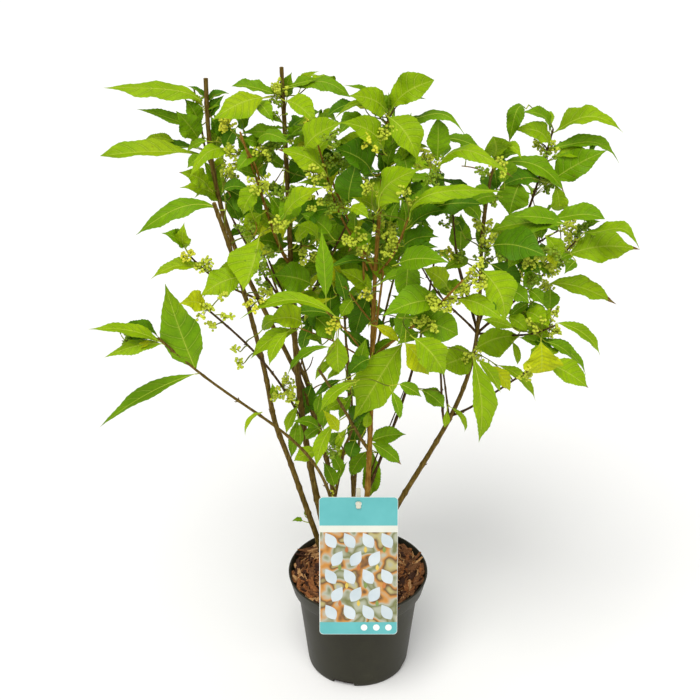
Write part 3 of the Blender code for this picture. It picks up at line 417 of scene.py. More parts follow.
    (493, 158, 494, 138, 34, -34, 0.95, 3, L, -40), (502, 149, 522, 158, 34, 13, 0.5, 9, L, -35), (492, 246, 547, 256, 78, 42, 0.85, 7, D, -70),
    (545, 236, 559, 263, 38, 18, 0.8, 4, L, -75), (548, 250, 556, 268, 28, 15, 0.8, 3, Y, -70), (490, 264, 521, 292, 52, 26, 0.8, 6, D, -60),
    (481, 270, 505, 323, 74, 38, 0.95, 8, L, -130, {"fold": -0.3, "skew": -0.25, "bend": -3}), (457, 300, 505, 321, 70, 24, 0.9, 9, L, -126, {"fold": -0.3}), (475, 350, 521, 335, 58, 36, 0.85, 7, L, -40, {"front": 1, "skew": 0.2}),
    (494, 345, 499, 324, 30, 17, 0.7, 3, M, -30), (473, 357, 479, 444, 108, 28, 0.95, 8, L, -110, {"fold": 0.35, "skew": -0.35, "bend": -7}), (478, 360, 501, 393, 46, 15, 0.7, 4, L, -104), (520, 332, 523, 306, 40, 26, 0.8, 3, L, -50),
    (530, 300, 538, 332, 40, 26, 0.8, 3, M, -30), (550, 289, 550, 312, 34, 24, 0.85, 3, M, -20), (576, 261, 565, 273, 30, 14, 0.7, 2, M, -60), (530, 290, 524, 267, 32, 20, 0.85, 3, M, -60),
    (504, 182, 500, 158, 36, 26, 0.7, 3, M, -20), (494, 168, 497, 191, 30, 15, 0.85, 2, D, 10), (536, 216, 542, 240, 34, 18, 0.8, 4, M, -40),
    (516, 262, 540, 272, 40, 24, 0.9, 4, D, -60), (536, 262, 553, 275, 26, 14, 0.9, 2, M, -30), (528, 290, 544, 305, 32, 17, 0.9, 3, M, -70), (529, 303, 508, 317, 34, 12, 0.8, 3, M, -60), (513, 328, 482, 319, 38, 15, 0.8, 3, L, -90), (505, 290, 530, 304, 42, 22, 0.8, 5, M, -70), (520, 250, 508, 268, 32, 18, 0.8, 4, M, -60),
    (565, 250, 545, 246, 34, 18, 0.8, 4, L, -60), (526, 312, 548, 326, 42, 22, 0.85, 5, L, -75), (508, 318, 528, 332, 36, 18, 0.8, 4, L, -75),
    # low tufts
    (371, 441, 406, 434, 44, 24, 0.85, 3, M, None), (371, 443, 402, 465, 46, 19, 0.8, 4, M, None), (367, 451, 350, 477, 38, 22, 0.9, 3, M, 14),
    (372, 450, 371, 498, 58, 26, 0.9, 10, M, 14), (354, 442, 366, 411, 42, 26, 0.85, 3, D, 8), (334, 423, 316, 467, 58, 18, 0.9, 5, L, -40), (298, 418, 291, 459, 50, 15, 0.85, 5, M, 10),
    (319, 429, 293, 421, 38, 15, 0.7, 5, M, -20), (320, 451, 293, 461, 38, 20, 0.8, 3, L, -20), (334, 486, 323, 462, 34, 18, 0.9, 3, M, 5), (341, 471, 331, 452, 28, 16, 0.9, 3, M, 0),
    (338, 481, 347, 462, 28, 8, 0.8, 3, M, 5), (338, 432, 323, 410, 34, 14, 0.8, 5, Y, -60), (355, 382, 319, 413, 58, 16, 0.7, 8, L, -80),
    (312, 384, 303, 417, 50, 32, 0.9, 4, D, -10), (342, 380, 313, 399, 44, 12, 0.5, 4, D, -40), (352, 424, 369, 411, 40, 26, 0.8, 3, D, -20),
    (347, 428, 338, 453, 36, 11, 0.8, 5, L, -30), (303, 521, 292, 521, 16, 7, 0.6, 2, M, None), (305, 516, 307, 506, 13, 5, 0.6, 1, M, None),
    (356, 440, 350, 458, 30, 22, 0.8, 3, D, 0), (330, 445, 344, 432, 30, 16, 0.8, 3, M, -20), (366, 428, 369, 410, 24, 12, 0.8, 2, L, -15),
]

# stretches of wood that show in front of the leaves: name, first and last pixel row
BARE = (
    ("stem_centre", 206, 357), ("stem_cut_left", 80, 147), ("stem_cut_left", 158, 244), ("stem_far_left", 206, 250), ("stem_cut_centre", 66, 124),
    ("stem_cut_centre", 158, 188), ("stem_cut_centre", 228, 262), ("bough_upper_left", 134, 180), ("bough_upper_left", 192, 262), ("twig_o", 146, 196),
    ("twig_n", 218, 272), ("twig_v", 216, 284), ("twig_c", 222, 250), ("stem_cut_centre", 336, 398), ("stem_cut_left", 276, 298), ("stem_right", 300, 332),
)

# round openings where the sky shows through the crown: u, v, radius in pixels
OPENINGS = (
    (262, 116, 6), (276, 177, 6), (170, 105, 7), (241, 178, 5), (236, 221, 6), (318, 101, 7), (352, 130, 6), (410, 105, 5), (427, 123, 5), 
    (463, 169, 8), (475, 173, 6), (327, 189, 6), (400, 213, 2), (358, 207, 4), (440, 220, 9), (432, 229, 5), (473, 218, 5), (470, 243, 6),
    (352, 287, 5), (474, 253, 7), (380, 286, 5), (418, 282, 6), (316, 350, 9), (287, 357, 11), (310, 368, 6), (367, 331, 5), (388, 346, 5),
    (406, 366, 10), (415, 372, 8), (454, 387, 14), (434, 384, 6), (338, 397, 5), (460, 325, 10), (468, 338, 6), (500, 354, 8), (524, 353, 8),
    (556, 300, 6), (225, 360, 30), (232, 398, 24), (205, 330, 14), (212, 238, 13), (236, 311, 12), (220, 301, 6), (252, 285, 5), (265, 372, 8),
    (414, 440, 26), (412, 480, 24), (388, 478, 9), (302, 484, 9), (388, 408, 10), (252, 330, 10), (248, 370, 14), (262, 340, 7), (145, 310, 22),
    (185, 215, 12), (205, 225, 10), (165, 200, 14), (150, 262, 20), (170, 178, 14), (150, 125, 7), (490, 430, 40), (540, 430, 30), (500, 100, 10),
    (590, 195, 12), (620, 205, 14), (620, 290, 16), (600, 330, 12), (470, 105, 16), (490, 125, 12), (575, 240, 4), (440, 245, 5), (275, 340, 6), (541, 203, 8), (498, 213, 11), (445, 235, 8), (256, 121, 4), (241, 246, 4), (278, 257, 5), (453, 170, 8), (460, 177, 5), (466, 169, 7), (509, 203, 5), (385, 300, 6), (550, 236, 4), (558, 238, 4), (205, 126, 4), (313, 101, 5), (335, 96, 5), (424, 105, 8), (388, 88, 6), (335, 184, 3), (415, 283, 5), (240, 151, 4), (249, 151, 4), (395, 286, 4), (472, 229, 5), (194, 238, 4), (259, 251, 4), (455, 275, 7), (292, 114, 5), (350, 109, 5), (348, 130, 6), (462, 176, 7),
    (560, 120, 6), (585, 172, 3), (535, 150, 5), (480, 158, 7), (425, 355, 3), (345, 303, 4), (350, 470, 4), (325, 395, 3), (290, 400, 6), (512, 380, 8),
)

# clusters of berries that show: u, v, number of berries, shade, depth y
FRUIT = (
    (281, 90, 44, L, 10), (227, 124, 26, Y, -20), (233, 153, 34, L, -20), (231, 164, 20, L, -20), (268, 158, 16, M, -30), (274, 190, 18, M, -10), (322, 184, 20, L, -70), (262, 152, 22, L, -30), (228, 174, 26, L, 0), (257, 188, 30, L, -40),
    (284, 193, 30, M, 0), (244, 226, 24, M, -40), (187, 251, 18, Y, -78), (205, 262, 28, L, -78), (313, 173, 34, L, -60), (333, 160, 20, M, -55),
    (336, 206, 46, M, -60), (316, 204, 22, L, -60), (283, 223, 24, L, -50), (382, 134, 48, L, -60), (372, 190, 26, L, -60), (404, 192, 16, L, -70),
    (355, 240, 46, L, -70), (385, 230, 44, L, -60), (392, 248, 34, L, -70), (362, 252, 20, L, -60), (308, 256, 22, L, -40), (427, 162, 30, L, -60),
    (435, 180, 22, M, -50), (479, 170, 16, M, -45), (500, 168, 22, L, -40), (496, 203, 16, M, -45), (481, 226, 34, L, -50), (489, 240, 30, L, -55), (484, 252, 22, M, -55),
    (460, 256, 20, M, 10), (449, 254, 20, Y, -40), (440, 306, 34, L, -130), (419, 323, 26, L, -115), (432, 328, 18, L, -120), (481, 266, 16, L, -140),
    (474, 282, 34, L, -140), (463, 292, 16, L, -130), (540, 145, 20, L, 60), (542, 184, 32, M, 55), (537, 275, 36, M, 10), (547, 287, 28, L, 0), (546, 264, 24, L, -40), (551, 272, 24, L, -20), (566, 228, 34, L, 10),
    (584, 230, 36, M, -5), (573, 240, 28, L, 0), (551, 252, 26, M, -30), (563, 264, 16, M, -30), (530, 264, 26, L, -20), (535, 324, 20, L, -60),
    (555, 314, 18, L, -60), (554, 331, 14, L, -80), (471, 356, 30, L, -60), (525, 377, 20, L, -110), (532, 366, 14, Y, -118), (206, 309, 22, L, -120),
    (228, 313, 12, L, -120), (212, 327, 16, L, -120), (240, 352, 10, L, -90), (243, 364, 12, L, -90), (223, 294, 9, L, -75), (256, 262, 26, M, -40), (267, 256, 18, M, -45), (276, 148, 26, M, -25),
    (263, 273, 16, M, -40), (265, 293, 16, L, -70), (255, 303, 22, Y, -75), (286, 386, 34, L, -20), (290, 398, 16, L, -20), (277, 395, 14, L, -20), (277, 102, 14, M, 5), (279, 117, 8, M, 5),  (334, 450, 14, M, 0), (330, 455, 16, M, 0),
    (365, 297, 18, Y, -70), (350, 386, 18, L, -60), (430, 300, 16, L, -120), (452, 302, 16, L, -120), (333, 330, 12, Y, -90), (500, 255, 12, M, -20),
    (330, 492, 3, Y, -20), (398, 240, 20, L, -80), (373, 216, 24, M, -45), (276, 232, 12, L, -50), (330, 320, 10, Y, -90), (487, 262, 14, M, -40),
    (369, 144, 14, Y, -75), (330, 139, 22, M, -50), (449, 221, 20, M, -40), (552, 150, 16, L, 50), (551, 160, 10, M, 50), (472, 272, 8, Y, -140), (259, 181, 18, L, -45), (543, 188, 12, M, 50), (261, 283, 16, M, -30), (264, 296, 12, L, -40), (472, 291, 12, L, -130),
)

# =============================================================================
# Leaf blades
# =============================================================================
ALONG, ACROSS = 32, 3  # strips along a blade, and across each half
VEINS, VEIN_SLOPE = 7.6, 0.17  # pairs of side veins, and how far they run forward
SHAPE_S = (0.0, 0.03, 0.08, 0.15, 0.25, 0.36, 0.47, 0.58, 0.68, 0.77, 0.85, 0.91, 0.96, 1.0)
SHAPE_H = (0.03, 0.08, 0.23, 0.48, 0.78, 0.96, 1.0, 0.92, 0.74, 0.49, 0.27, 0.13, 0.05, 0.004)
BLUNT_H = (0.03, 0.06, 0.14, 0.28, 0.50, 0.72, 0.90, 1.0, 0.98, 0.86, 0.65, 0.42, 0.18, 0.01)


def blade(foot, tip, width, normal, arch, shade, seed, fold=0.28, burnt=0.0, curl=0.0, skew=0.0, bend=0.0, peak=0.85, trial=False):
    """One leaf blade, from foot to tip (mm), with its midrib."""
    r = random.Random(seed)
    foot, tip = np.asarray(foot, float), np.asarray(tip, float)
    chord = tip - foot
    length = np.linalg.norm(chord)
    e = chord / length
    n0 = unit(np.asarray(normal) - e * (np.asarray(normal) @ e))
    up = np.array((0.0, 0.0, 1.0)) - e * e[2]
    up = unit(up * 1.3 + n0 * 0.7) if np.linalg.norm(up) > 0.2 else n0
    s = np.linspace(0.0, 1.0, ALONG + 1)
    lift = arch * np.sin(math.pi * s**peak)
    drift = ((r.random() - 0.5) * 0.05 * length + bend) * np.sin(math.pi * s)
    side0 = np.cross(e, n0)
    mid = foot + e * (length * s)[:, None] + up * lift[:, None] + side0 * drift[:, None]
    if curl:
        mid = mid + n0 * (-curl * np.clip((s - 0.72) / 0.28, 0, 1) ** 2)[:, None]
    tang = np.gradient(mid, axis=0)
    tang /= np.linalg.norm(tang, axis=1)[:, None]
    twist = (r.random() - 0.5) * 0.9 * (s - 0.25)
    side = side0 - tang * (tang @ side0)[:, None]
    side /= np.linalg.norm(side, axis=1)[:, None]
    norm = np.cross(side, tang)
    c, sn = np.cos(twist)[:, None], np.sin(twist)[:, None]
    side, norm = side * c + norm * sn, norm * c - side * sn
    half = np.interp(s, SHAPE_S, SHAPE_H if width > 0 else BLUNT_H) * abs(width) / 2.0
    width = abs(width)
    cols = np.linspace(-1.0, 1.0, 2 * ACROSS + 1)
    w = np.abs(cols)
    phase = (r.random() * 6.28, r.random() * 6.28)
    waves = 2.0 + r.random() * 1.4
    swell = (0.055 + 0.05 * r.random()) * width
    asym = 1.0 + (r.random() - 0.5) * 0.2
    ragged = 1.0 + 0.05 * np.sin(s * (9.0 + 6.0 * r.random()) + phase[0]) + 0.03 * np.sin(s * 23.0 + phase[1])
    verts = np.empty((ALONG + 1, len(cols), 3))
    uv = np.empty((ALONG + 1, len(cols), 2))
    tooth = np.where((s > 0.10) & (s < 0.93), np.where(np.arange(ALONG + 1) % 2 == 0, 0.32, -0.32), 0.0)
    envelope = np.clip(np.sin(math.pi * s**0.9), 0, 1)
    for j, x in enumerate(cols):
        h = half * ((asym + skew) if x > 0 else 2.0 - asym - skew) * ragged
        if w[j] == 1.0:
            h = h + tooth * np.clip(h / 6.0, 0.0, 1.0)
        out = side * (x * h)[:, None]
        vein = VEINS * (s - VEIN_SLOPE * w[j] ** 1.3)
        quilt = 0.058 * width * (np.abs(np.sin(math.pi * vein)) - 0.5) * w[j] * (1.3 - w[j]) * 2.0
        ph = phase[0] if x < 0 else phase[1]
        wave = swell * np.sin(2 * math.pi * waves * s + ph) * w[j] ** 1.6
        valley = fold * (w[j] * 1.3 - 0.45 * w[j] ** 2) * h
        rise = valley + (quilt + wave) * envelope
        verts[:, j] = mid + out + norm * rise[:, None]
        uv[:, j, 0] = 0.5 + 0.5 * x
        uv[:, j, 1] = s
    if trial:
        return verts
    n = len(cols)
    idx = np.arange((ALONG + 1) * n).reshape(ALONG + 1, n)
    quads = np.stack([idx[:-1, :-1], idx[:-1, 1:], idx[1:, 1:], idx[1:, :-1]], axis=-1)
    if burnt > 0.0:
        edge = int(round((1.0 - burnt) * ALONG))
        bag("leaves_" + shade).add(verts, quads[:edge].reshape(-1, 4), uv)
        bag("leaf_tips_dry").add(verts, quads[edge:].reshape(-1, 4), uv)
    else:
        bag("leaves_" + shade).add(verts, quads.reshape(-1, 4), uv)
    pick = np.arange(0, ALONG - 1, 2)
    thick = np.interp(s[pick], (0.0, 0.3, 0.7, 1.0), (0.6, 0.42, 0.28, 0.12)) * (0.6 + width / 90.0)
    tube("leaf_ribs", mid[pick] + norm[pick] * 0.1, thick, sides=4, caps=False)
    return verts


def petiole(start, foot, seed, thick=0.75):
    r = random.Random(seed)
    start, foot = np.asarray(start, float), np.asarray(foot, float)
    gap = np.linalg.norm(foot - start)
    sag = np.array((0, 0, -0.08 * gap + r.random() * 0.5))
    path = [start + (foot - start) * t + sag * math.sin(math.pi * t) for t in (0.0, 0.33, 0.67, 1.0)]
    tube("petioles", path, [thick * 1.25, thick, thick * 0.95, thick * 0.9], sides=5, caps=False)


# =============================================================================
# Where leaves may be: inside the masses, clear of the sky and of what shows in front
# =============================================================================
TREES = {}
for name in NODES:
    if name.startswith("leaves"):
        obj = bpy.data.objects[name]
        bm = bmesh.new()
        bm.from_mesh(obj.data)
        low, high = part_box(name)
        TREES[name] = (BVHTree.FromBMesh(bm), np.array(low) / MM, np.array(high) / MM)
        bm.free()


def in_tree(tree, p):
    at, way, hits = Vector(p) * MM, Vector((0.31, 0.27, 0.91)).normalized(), 0
    for _ in range(12):
        hit, _, _, _ = tree.ray_cast(at, way)
        if hit is None:
            break
        hits += 1
        at = hit + way * 1e-5
    return hits % 2 == 1


def in_leaves(p, slack=8.0):
    """True inside a mass of leaves, or within slack mm of one."""
    for tree, low, high in TREES.values():
        if np.all(p > low - slack) and np.all(p < high + slack):
            if in_tree(tree, p):
                return True
            if tree.find_nearest(Vector(p) * MM)[3] < slack * MM:
                return True
    return False


LOW = np.array(CAD_BOX[0]) / MM - 6.0
HIGH = np.array(CAD_BOX[1]) / MM + 6.0


def in_opening(p, grow=0.0):
    u, v = pixel(p)
    return any((u - a) ** 2 + (v - b) ** 2 < (c + grow) ** 2 for a, b, c in OPENINGS)


# ---- the leaves that show ----------------------------------------------------
LIMB_POINTS = np.concatenate([s.points for s in SHOOTS])
LIMB_OWNER = np.concatenate([np.full(len(s.points), i) for i, s in enumerate(SHOOTS)])
LIMB_ALONG = np.concatenate([s.along for s in SHOOTS])
_d = LIMB_POINTS - EYE
_a = _d @ AHEAD
LIMB_PIX = np.stack([350.0 + FOCAL * (_d @ RIGHT) / _a, 350.0 - FOCAL * (_d @ UP) / _a], axis=1)


def nearest_limb_depth(u, v):
    far = np.hypot(LIMB_PIX[:, 0] - u, LIMB_PIX[:, 1] - v)
    return float(LIMB_POINTS[int(np.argmin(far)), 1])


def add_shoot(shoot):
    global LIMB_POINTS, LIMB_OWNER, LIMB_ALONG
    SHOOTS.append(shoot)
    LIMB_POINTS = np.concatenate([LIMB_POINTS, shoot.points])
    LIMB_OWNER = np.concatenate([LIMB_OWNER, np.full(len(shoot.points), len(SHOOTS) - 1)])
    LIMB_ALONG = np.concatenate([LIMB_ALONG, shoot.along])


def drop_shoot():
    """Takes the last shoot off again."""
    global LIMB_POINTS, LIMB_OWNER, LIMB_ALONG
    n = len(SHOOTS.pop().points)
    LIMB_POINTS, LIMB_OWNER, LIMB_ALONG = LIMB_POINTS[:-n], LIMB_OWNER[:-n], LIMB_ALONG[:-n]


def join_point(p):
    """The best point to grow from towards p: near, and lower rather than higher."""
    d = LIMB_POINTS - p
    gap = np.linalg.norm(d, axis=1)
    cost = gap + np.clip(d[:, 2] + 6.0, 0, None) * 2.5 - np.clip(-d[:, 2], 0, 25) * 0.25
    i = int(np.argmin(cost))
    return i, gap[i]


def grow_twig(p, kind="plum", name="twig", toward=None):
    """A twig from the nearest limb to p. Returns the shoot, or None if p is on a limb."""
    i, gap = join_point(p)
    if gap < 13.0:
        return None, LIMB_POINTS[i]
    start, owner = LIMB_POINTS[i], SHOOTS[int(LIMB_OWNER[i])]
    lead = owner.way(LIMB_ALONG[i])
    if lead[2] < 0:
        lead = -lead
    way = unit(p - start)
    first = start + unit(way * 0.75 + lead * 0.5 + np.array((0, 0, 0.12))) * gap * 0.45
    end_way = unit(toward) if toward is not None else unit(way + np.array((0, 0, 0.35)))
    second = p - unit(way * 0.8 + end_way * 0.35) * gap * 0.33
    t = np.linspace(0.0, 1.0, max(5, int(gap / 4.0)))[:, None]
    path = (1 - t) ** 3 * start + 3 * (1 - t) ** 2 * t * first + 3 * (1 - t) * t * t * second + t**3 * p
    r0 = min(owner.radius(LIMB_ALONG[i]) * 0.72, 0.75 + gap / 110.0)
    shoot = Shoot(name, path, np.linspace(max(r0, 0.7), 0.6, len(path)), kind)
    shoot.parent = (owner, float(LIMB_ALONG[i]))
    shoot.used = shoot.length if name.startswith("twig") else 0.0
    add_shoot(shoot)
    return shoot, p


CELL = 2.0  # pixels
SHOWN = np.full((360, 360), 1e9)  # distance from the viewer of what shows, cell by cell


def cells(points):
    """Cells and distances of points (mm), those outside the picture left out."""
    d = np.asarray(points, float).reshape(-1, 3) - EYE
    far = d @ AHEAD
    iu = ((350.0 + FOCAL * (d @ RIGHT) / far) / CELL).astype(int)
    iv = ((350.0 - FOCAL * (d @ UP) / far) / CELL).astype(int)
    ok = (iu >= 0) & (iu < 360) & (iv >= 0) & (iv < 360)
    return iu[ok], iv[ok], far[ok]


def mark_shown(points, grow=0):
    iu, iv, far = cells(points)
    for du in range(-grow, grow + 1):
        for dv in range(-grow, grow + 1):
            np.minimum.at(SHOWN, (np.clip(iu + du, 0, 359), np.clip(iv + dv, 0, 359)), far)


def fill_in(verts):
    """More points on a blade's grid."""
    v = (verts[:-1] + verts[1:]) / 2.0
    v = np.concatenate([verts, v])
    h = (v[:, :-1] + v[:, 1:]) / 2.0
    return np.concatenate([v.reshape(-1, 3), h.reshape(-1, 3)])


TO_EYE = unit(EYE - np.array((0.0, 0.0, 620.0)))
ZUP = np.array((0.0, 0.0, 1.0))
WOOD = np.full((360, 360), -1.0)  # distance from the viewer of the wood that has to show
for shoot in SHOOTS:
    for name, v0, v1 in BARE:
        if shoot.name == name:
            iu, iv, far = cells(shoot.points)
            ok = (iv >= v0 / CELL) & (iv <= v1 / CELL)
            for du in (-1, 0, 1) if name.startswith("stem") else (0,):
                WOOD[np.clip(iu[ok] + du, 0, 359), iv[ok]] = far[ok]


def hides_wood(points):
    """How many cells of wood that has to show these points stand before."""
    iu, iv, far = cells(points)
    front = far < WOOD[iu, iv] - 1.5
    return len(set(zip(iu[front].tolist(), iv[front].tolist())))

order = sorted(range(len(SEEN)), key=lambda k: SEEN[k][4], reverse=True)
for k in order:
    u0, v0, u1, v1, size, width, face, arch, shade, y = SEEN[k][:10]
    depth = nearest_limb_depth(u0, v0) if y is None else float(y)
    extra = SEEN[k][10] if len(SEEN[k]) > 10 else {}
    lean, curl = rng.random() - 0.5, rng.random() * 5.0
    fold = extra.get("fold", 0.62 - 0.36 * face + 0.12 * rng.random())
    normal = unit(ZUP * (1.0 - 0.75 * face) + TO_EYE * face * 1.1 + RIGHT * lean * 0.25)
    form = dict(fold=fold, curl=curl, skew=extra.get("skew", 0.0), bend=extra.get("bend", 0.0), peak=extra.get("peak", 0.85))
    for back in range(18):
        # a leaf that hides wood which has to show goes behind it
        at = depth + 8.0 * (back if back < 17 else 0)
        foot = seen(u0, v0, at)
        flat = seen(u1, v1, at)
        span = np.linalg.norm(flat - foot)
        away = math.sqrt(max(size * size - span * span, 0.0))
        tip = seen(u1, v1, at - min(away, 0.6 * abs(size)) * (1 if size > 0 else -1))
        if "front" in extra or hides_wood(fill_in(blade(foot, tip, width, normal, arch, shade, 100 + k, trial=True, **form))) <= 4:
            break
    e = unit(tip - foot)
    # the petiole runs back from the blade to the wood
    back = foot - e * 8.0 - ZUP * 2.0
    gaps = np.linalg.norm(LIMB_POINTS - back, axis=1)
    i = int(np.argmin(gaps))
    if gaps[i] < 16.0:
        start = LIMB_POINTS[i]
    else:
        grow_twig(back, name=f"twig_seen_{k}", kind="green")
        start = back
    petiole(start, foot, k)
    burnt = 0.0
    if rng.random() < 0.10:
        burnt = 0.06 + 0.06 * rng.random()
    burnt = extra.get("dry", burnt)
    made = blade(foot, tip, width, normal, arch, shade, 100 + k, burnt=burnt, **form)
    mark_shown(fill_in(made))

# ---- the berries that show come forward of the leaves there -------------------
FRUIT_AT = []
for u, v, number, shade, y in FRUIT:
    for _ in range(7):
        p = seen(u, v, float(y))
        ring = [p + RIGHT * dx + UP * dz for dx, dz in ((0, 0), (7, 0), (-7, 0), (0, 7), (0, -7))]
        iu, iv, far = cells(ring)
        if (SHOWN[iu, iv] < far - 5.0).sum() < 2:
            break
        y -= 12.0
    FRUIT_AT.append(p)
for p in FRUIT_AT:
    mark_shown(p[None], grow=4)
for shoot in SHOOTS:
    if not shoot.name.startswith('twig_seen'):
        mark_shown(shoot.points, grow=1)


# the middle of the crown, where leaves close up in the photograph: corners as pixels
DENSE = (
    (216, 128), (236, 98), (262, 92), (300, 96), (345, 108), (390, 104), (430, 128), (450, 160), (510, 160), (540, 188), (556, 215), (572, 250),
    (558, 285), (556, 320), (545, 350), (500, 342), (470, 352), (440, 330), (400, 345), (372, 352), (330, 345), (300, 332), (262, 312), (248, 282),
    (238, 240), (222, 200),
)


def in_dense(u, v):
    inside = False
    for (ax, ay), (bx, by) in zip(DENSE, DENSE[1:] + DENSE[:1]):
        if (ay > v) != (by > v) and u < (bx - ax) * (v - ay) / (by - ay) + ax:
            inside = not inside
    return inside


def stands_in_sky(points, share=0.3):
    """True if more than a share of the points show outside the closed crown and off all that shows."""
    iu, iv, far = cells(points)
    bare = SHOWN[iu, iv] > 1e8
    return sum(1 for k in range(len(iu)) if bare[k] and not in_dense(iu[k] * CELL, iv[k] * CELL)) > share * len(points)


def hides_shown(points, share=0.08):
    """True if more than a share of the points stand before something that shows."""
    iu, iv, far = cells(points)
    return (far < SHOWN[iu, iv] * (SHOWN[iu, iv] < 1e8) - 3.0).sum() > share * len(far)


# =============================================================================
# The seeded branching rule: shoots grow from the limbs into the masses
# =============================================================================
SPACING = 47.0  # mm between shoot tips
PAIR_GAP = 30.0  # mm between pairs of leaves along a shoot

tips = []
low, high = LOW, HIGH
for ix in range(int((high[0] - low[0]) / SPACING) + 1):
    for iy in range(int((high[1] - low[1]) / SPACING) + 1):
        for iz in range(int((high[2] - 420.0) / SPACING) + 1):
            jitter = np.array([rng.uniform(-0.42, 0.42) for _ in range(3)])
            p = np.array((low[0], low[1], 430.0)) + (np.array((ix, iy, iz)) + 0.5 * (iy % 2) * np.array((1, 0, 1)) + jitter) * SPACING
            if in_leaves(p, 0.0) and not in_opening(p, 4.0):
                tips.append(p)

# nearest to the wood first, so that later shoots can grow from earlier ones
tips.sort(key=lambda p: join_point(p)[1])
GROWN = []
for n, p in enumerate(tips):
    if join_point(p)[1] > 85.0:
        continue
    shoot, _ = grow_twig(p, kind="plum" if n % 4 else "russet", name=f"shoot_{n}")
    if shoot is not None:
        if hides_shown(shoot.points[3:], 0.3) or stands_in_sky(shoot.points, 0.25):
            drop_shoot()
        else:
            GROWN.append(shoot)

LEAFY = []
for shoot in SHOOTS:
    if shoot.name.startswith("twig_seen"):
        continue
    LEAFY.append(shoot)

count_grown = 0
SHADES = (L, L, L, M, M, M, D, D, Y)
TAKEN = []  # middles of blades, so that they don't lie in each other


def try_leaf(at, way, size, width, normal, arch, shade, seed):
    """Puts a blade on if it lies where leaves may be."""
    global count_grown
    way = unit(way)
    foot = at + way * (6.0 + 3.0 * rng.random())
    tip = foot + way * size
    tip[2] -= size * (0.12 + 0.2 * rng.random())
    e = unit(tip - foot)
    side = unit(np.cross(e, unit(normal - e * (normal @ e)))) * width * 0.4
    line = [foot + (tip - foot) * t + ZUP * arch * math.sin(math.pi * t) for t in (0.1, 0.25, 0.4, 0.55, 0.7, 0.85, 1.0)]
    cloud = np.array(line + [q + side for q in line[1:5]] + [q - side for q in line[1:5]])
    if np.any(cloud < LOW) or np.any(cloud > HIGH):
        return False
    t = np.linspace(0.06, 1.0, 12)
    spine = foot + (tip - foot) * t[:, None] + ZUP * (arch * np.sin(math.pi * t))[:, None]
    reach = side[None] * (np.interp(t, SHAPE_S, SHAPE_H) * 1.15)[:, None]
    close = np.concatenate([spine, spine + reach, spine - reach, spine + reach / 2, spine - reach / 2])
    if hides_shown(close, 0.05) or stands_in_sky(close, 0.1):
        return False
    if any(in_opening(q) for q in cloud):
        return False
    if not all(in_leaves(q, 9.0) for q in (line[1], line[3], line[5], line[6])):
        return False
    middle = line[3]
    if TAKEN and np.min(np.linalg.norm(np.array(TAKEN) - middle, axis=1)) < 11.0:
        return False
    TAKEN.append(middle)
    petiole(at, foot, seed)
    blade(foot, tip, width, normal, arch, shade, seed, fold=rng.uniform(0.3, 0.6), burnt=0.08 if rng.random() < 0.05 else 0.0, curl=rng.random() * 7.0)
    count_grown += 1
    return True


for n, shoot in enumerate(LEAFY):
    limb = shoot.name in LIMBS
    spray_shade = rng.choice(SHADES)
    turn = rng.random() * math.pi
    s = shoot.length - (4.0 if shoot.name not in CUT_TOPS else 40.0)
    first = True
    while s > (14.0 if not limb else 60.0):
        at = shoot.at(s)
        if in_leaves(at, 4.0):
            way = shoot.way(s)
            if way[2] < 0:
                way = -way
            a = unit(np.cross(way, (0.3, 1.0, 0.1)))
            b = np.cross(way, a)
            for half in (0.0, math.pi):
                for attempt in range(6):
                    ang = turn + half + rng.uniform(-0.35, 0.35) + (attempt * rng.choice((-0.5, 0.5)))
                    out = a * math.cos(ang) + b * math.sin(ang)
                    lift = 0.75 if first else rng.uniform(0.15, 0.55)
                    size = rng.uniform(62.0, 92.0) * (0.75 if first else 1.0) * (1.0, 0.9, 0.78, 0.66, 0.55, 0.45)[attempt]
                    direction = unit(out + way * lift)
                    normal = unit(ZUP * 0.9 + out * 0.35 + TO_EYE * rng.uniform(0.0, 0.35) + np.array([rng.uniform(-0.3, 0.3) for _ in range(3)]))
                    shade = spray_shade if rng.random() < 0.75 else rng.choice(SHADES)
                    if try_leaf(at + out * shoot.radius(s), direction, size, size * rng.uniform(0.36, 0.46), normal, size * rng.uniform(0.08, 0.2), shade, rng.randrange(10**6)):
                        shoot.used = max(shoot.used, s)
                        break
        first = False
        turn += math.pi / 2 + rng.uniform(-0.2, 0.2)
        s -= PAIR_GAP * rng.uniform(0.8, 1.25)

# =============================================================================
# Berries
# =============================================================================
ico = bmesh.new()
bmesh.ops.create_icosphere(ico, subdivisions=2, radius=1.0)
ICO_V = np.array([v.co[:] for v in ico.verts])
ICO_F = np.array([[v.index for v in f.verts] for f in ico.faces])
ico.free()


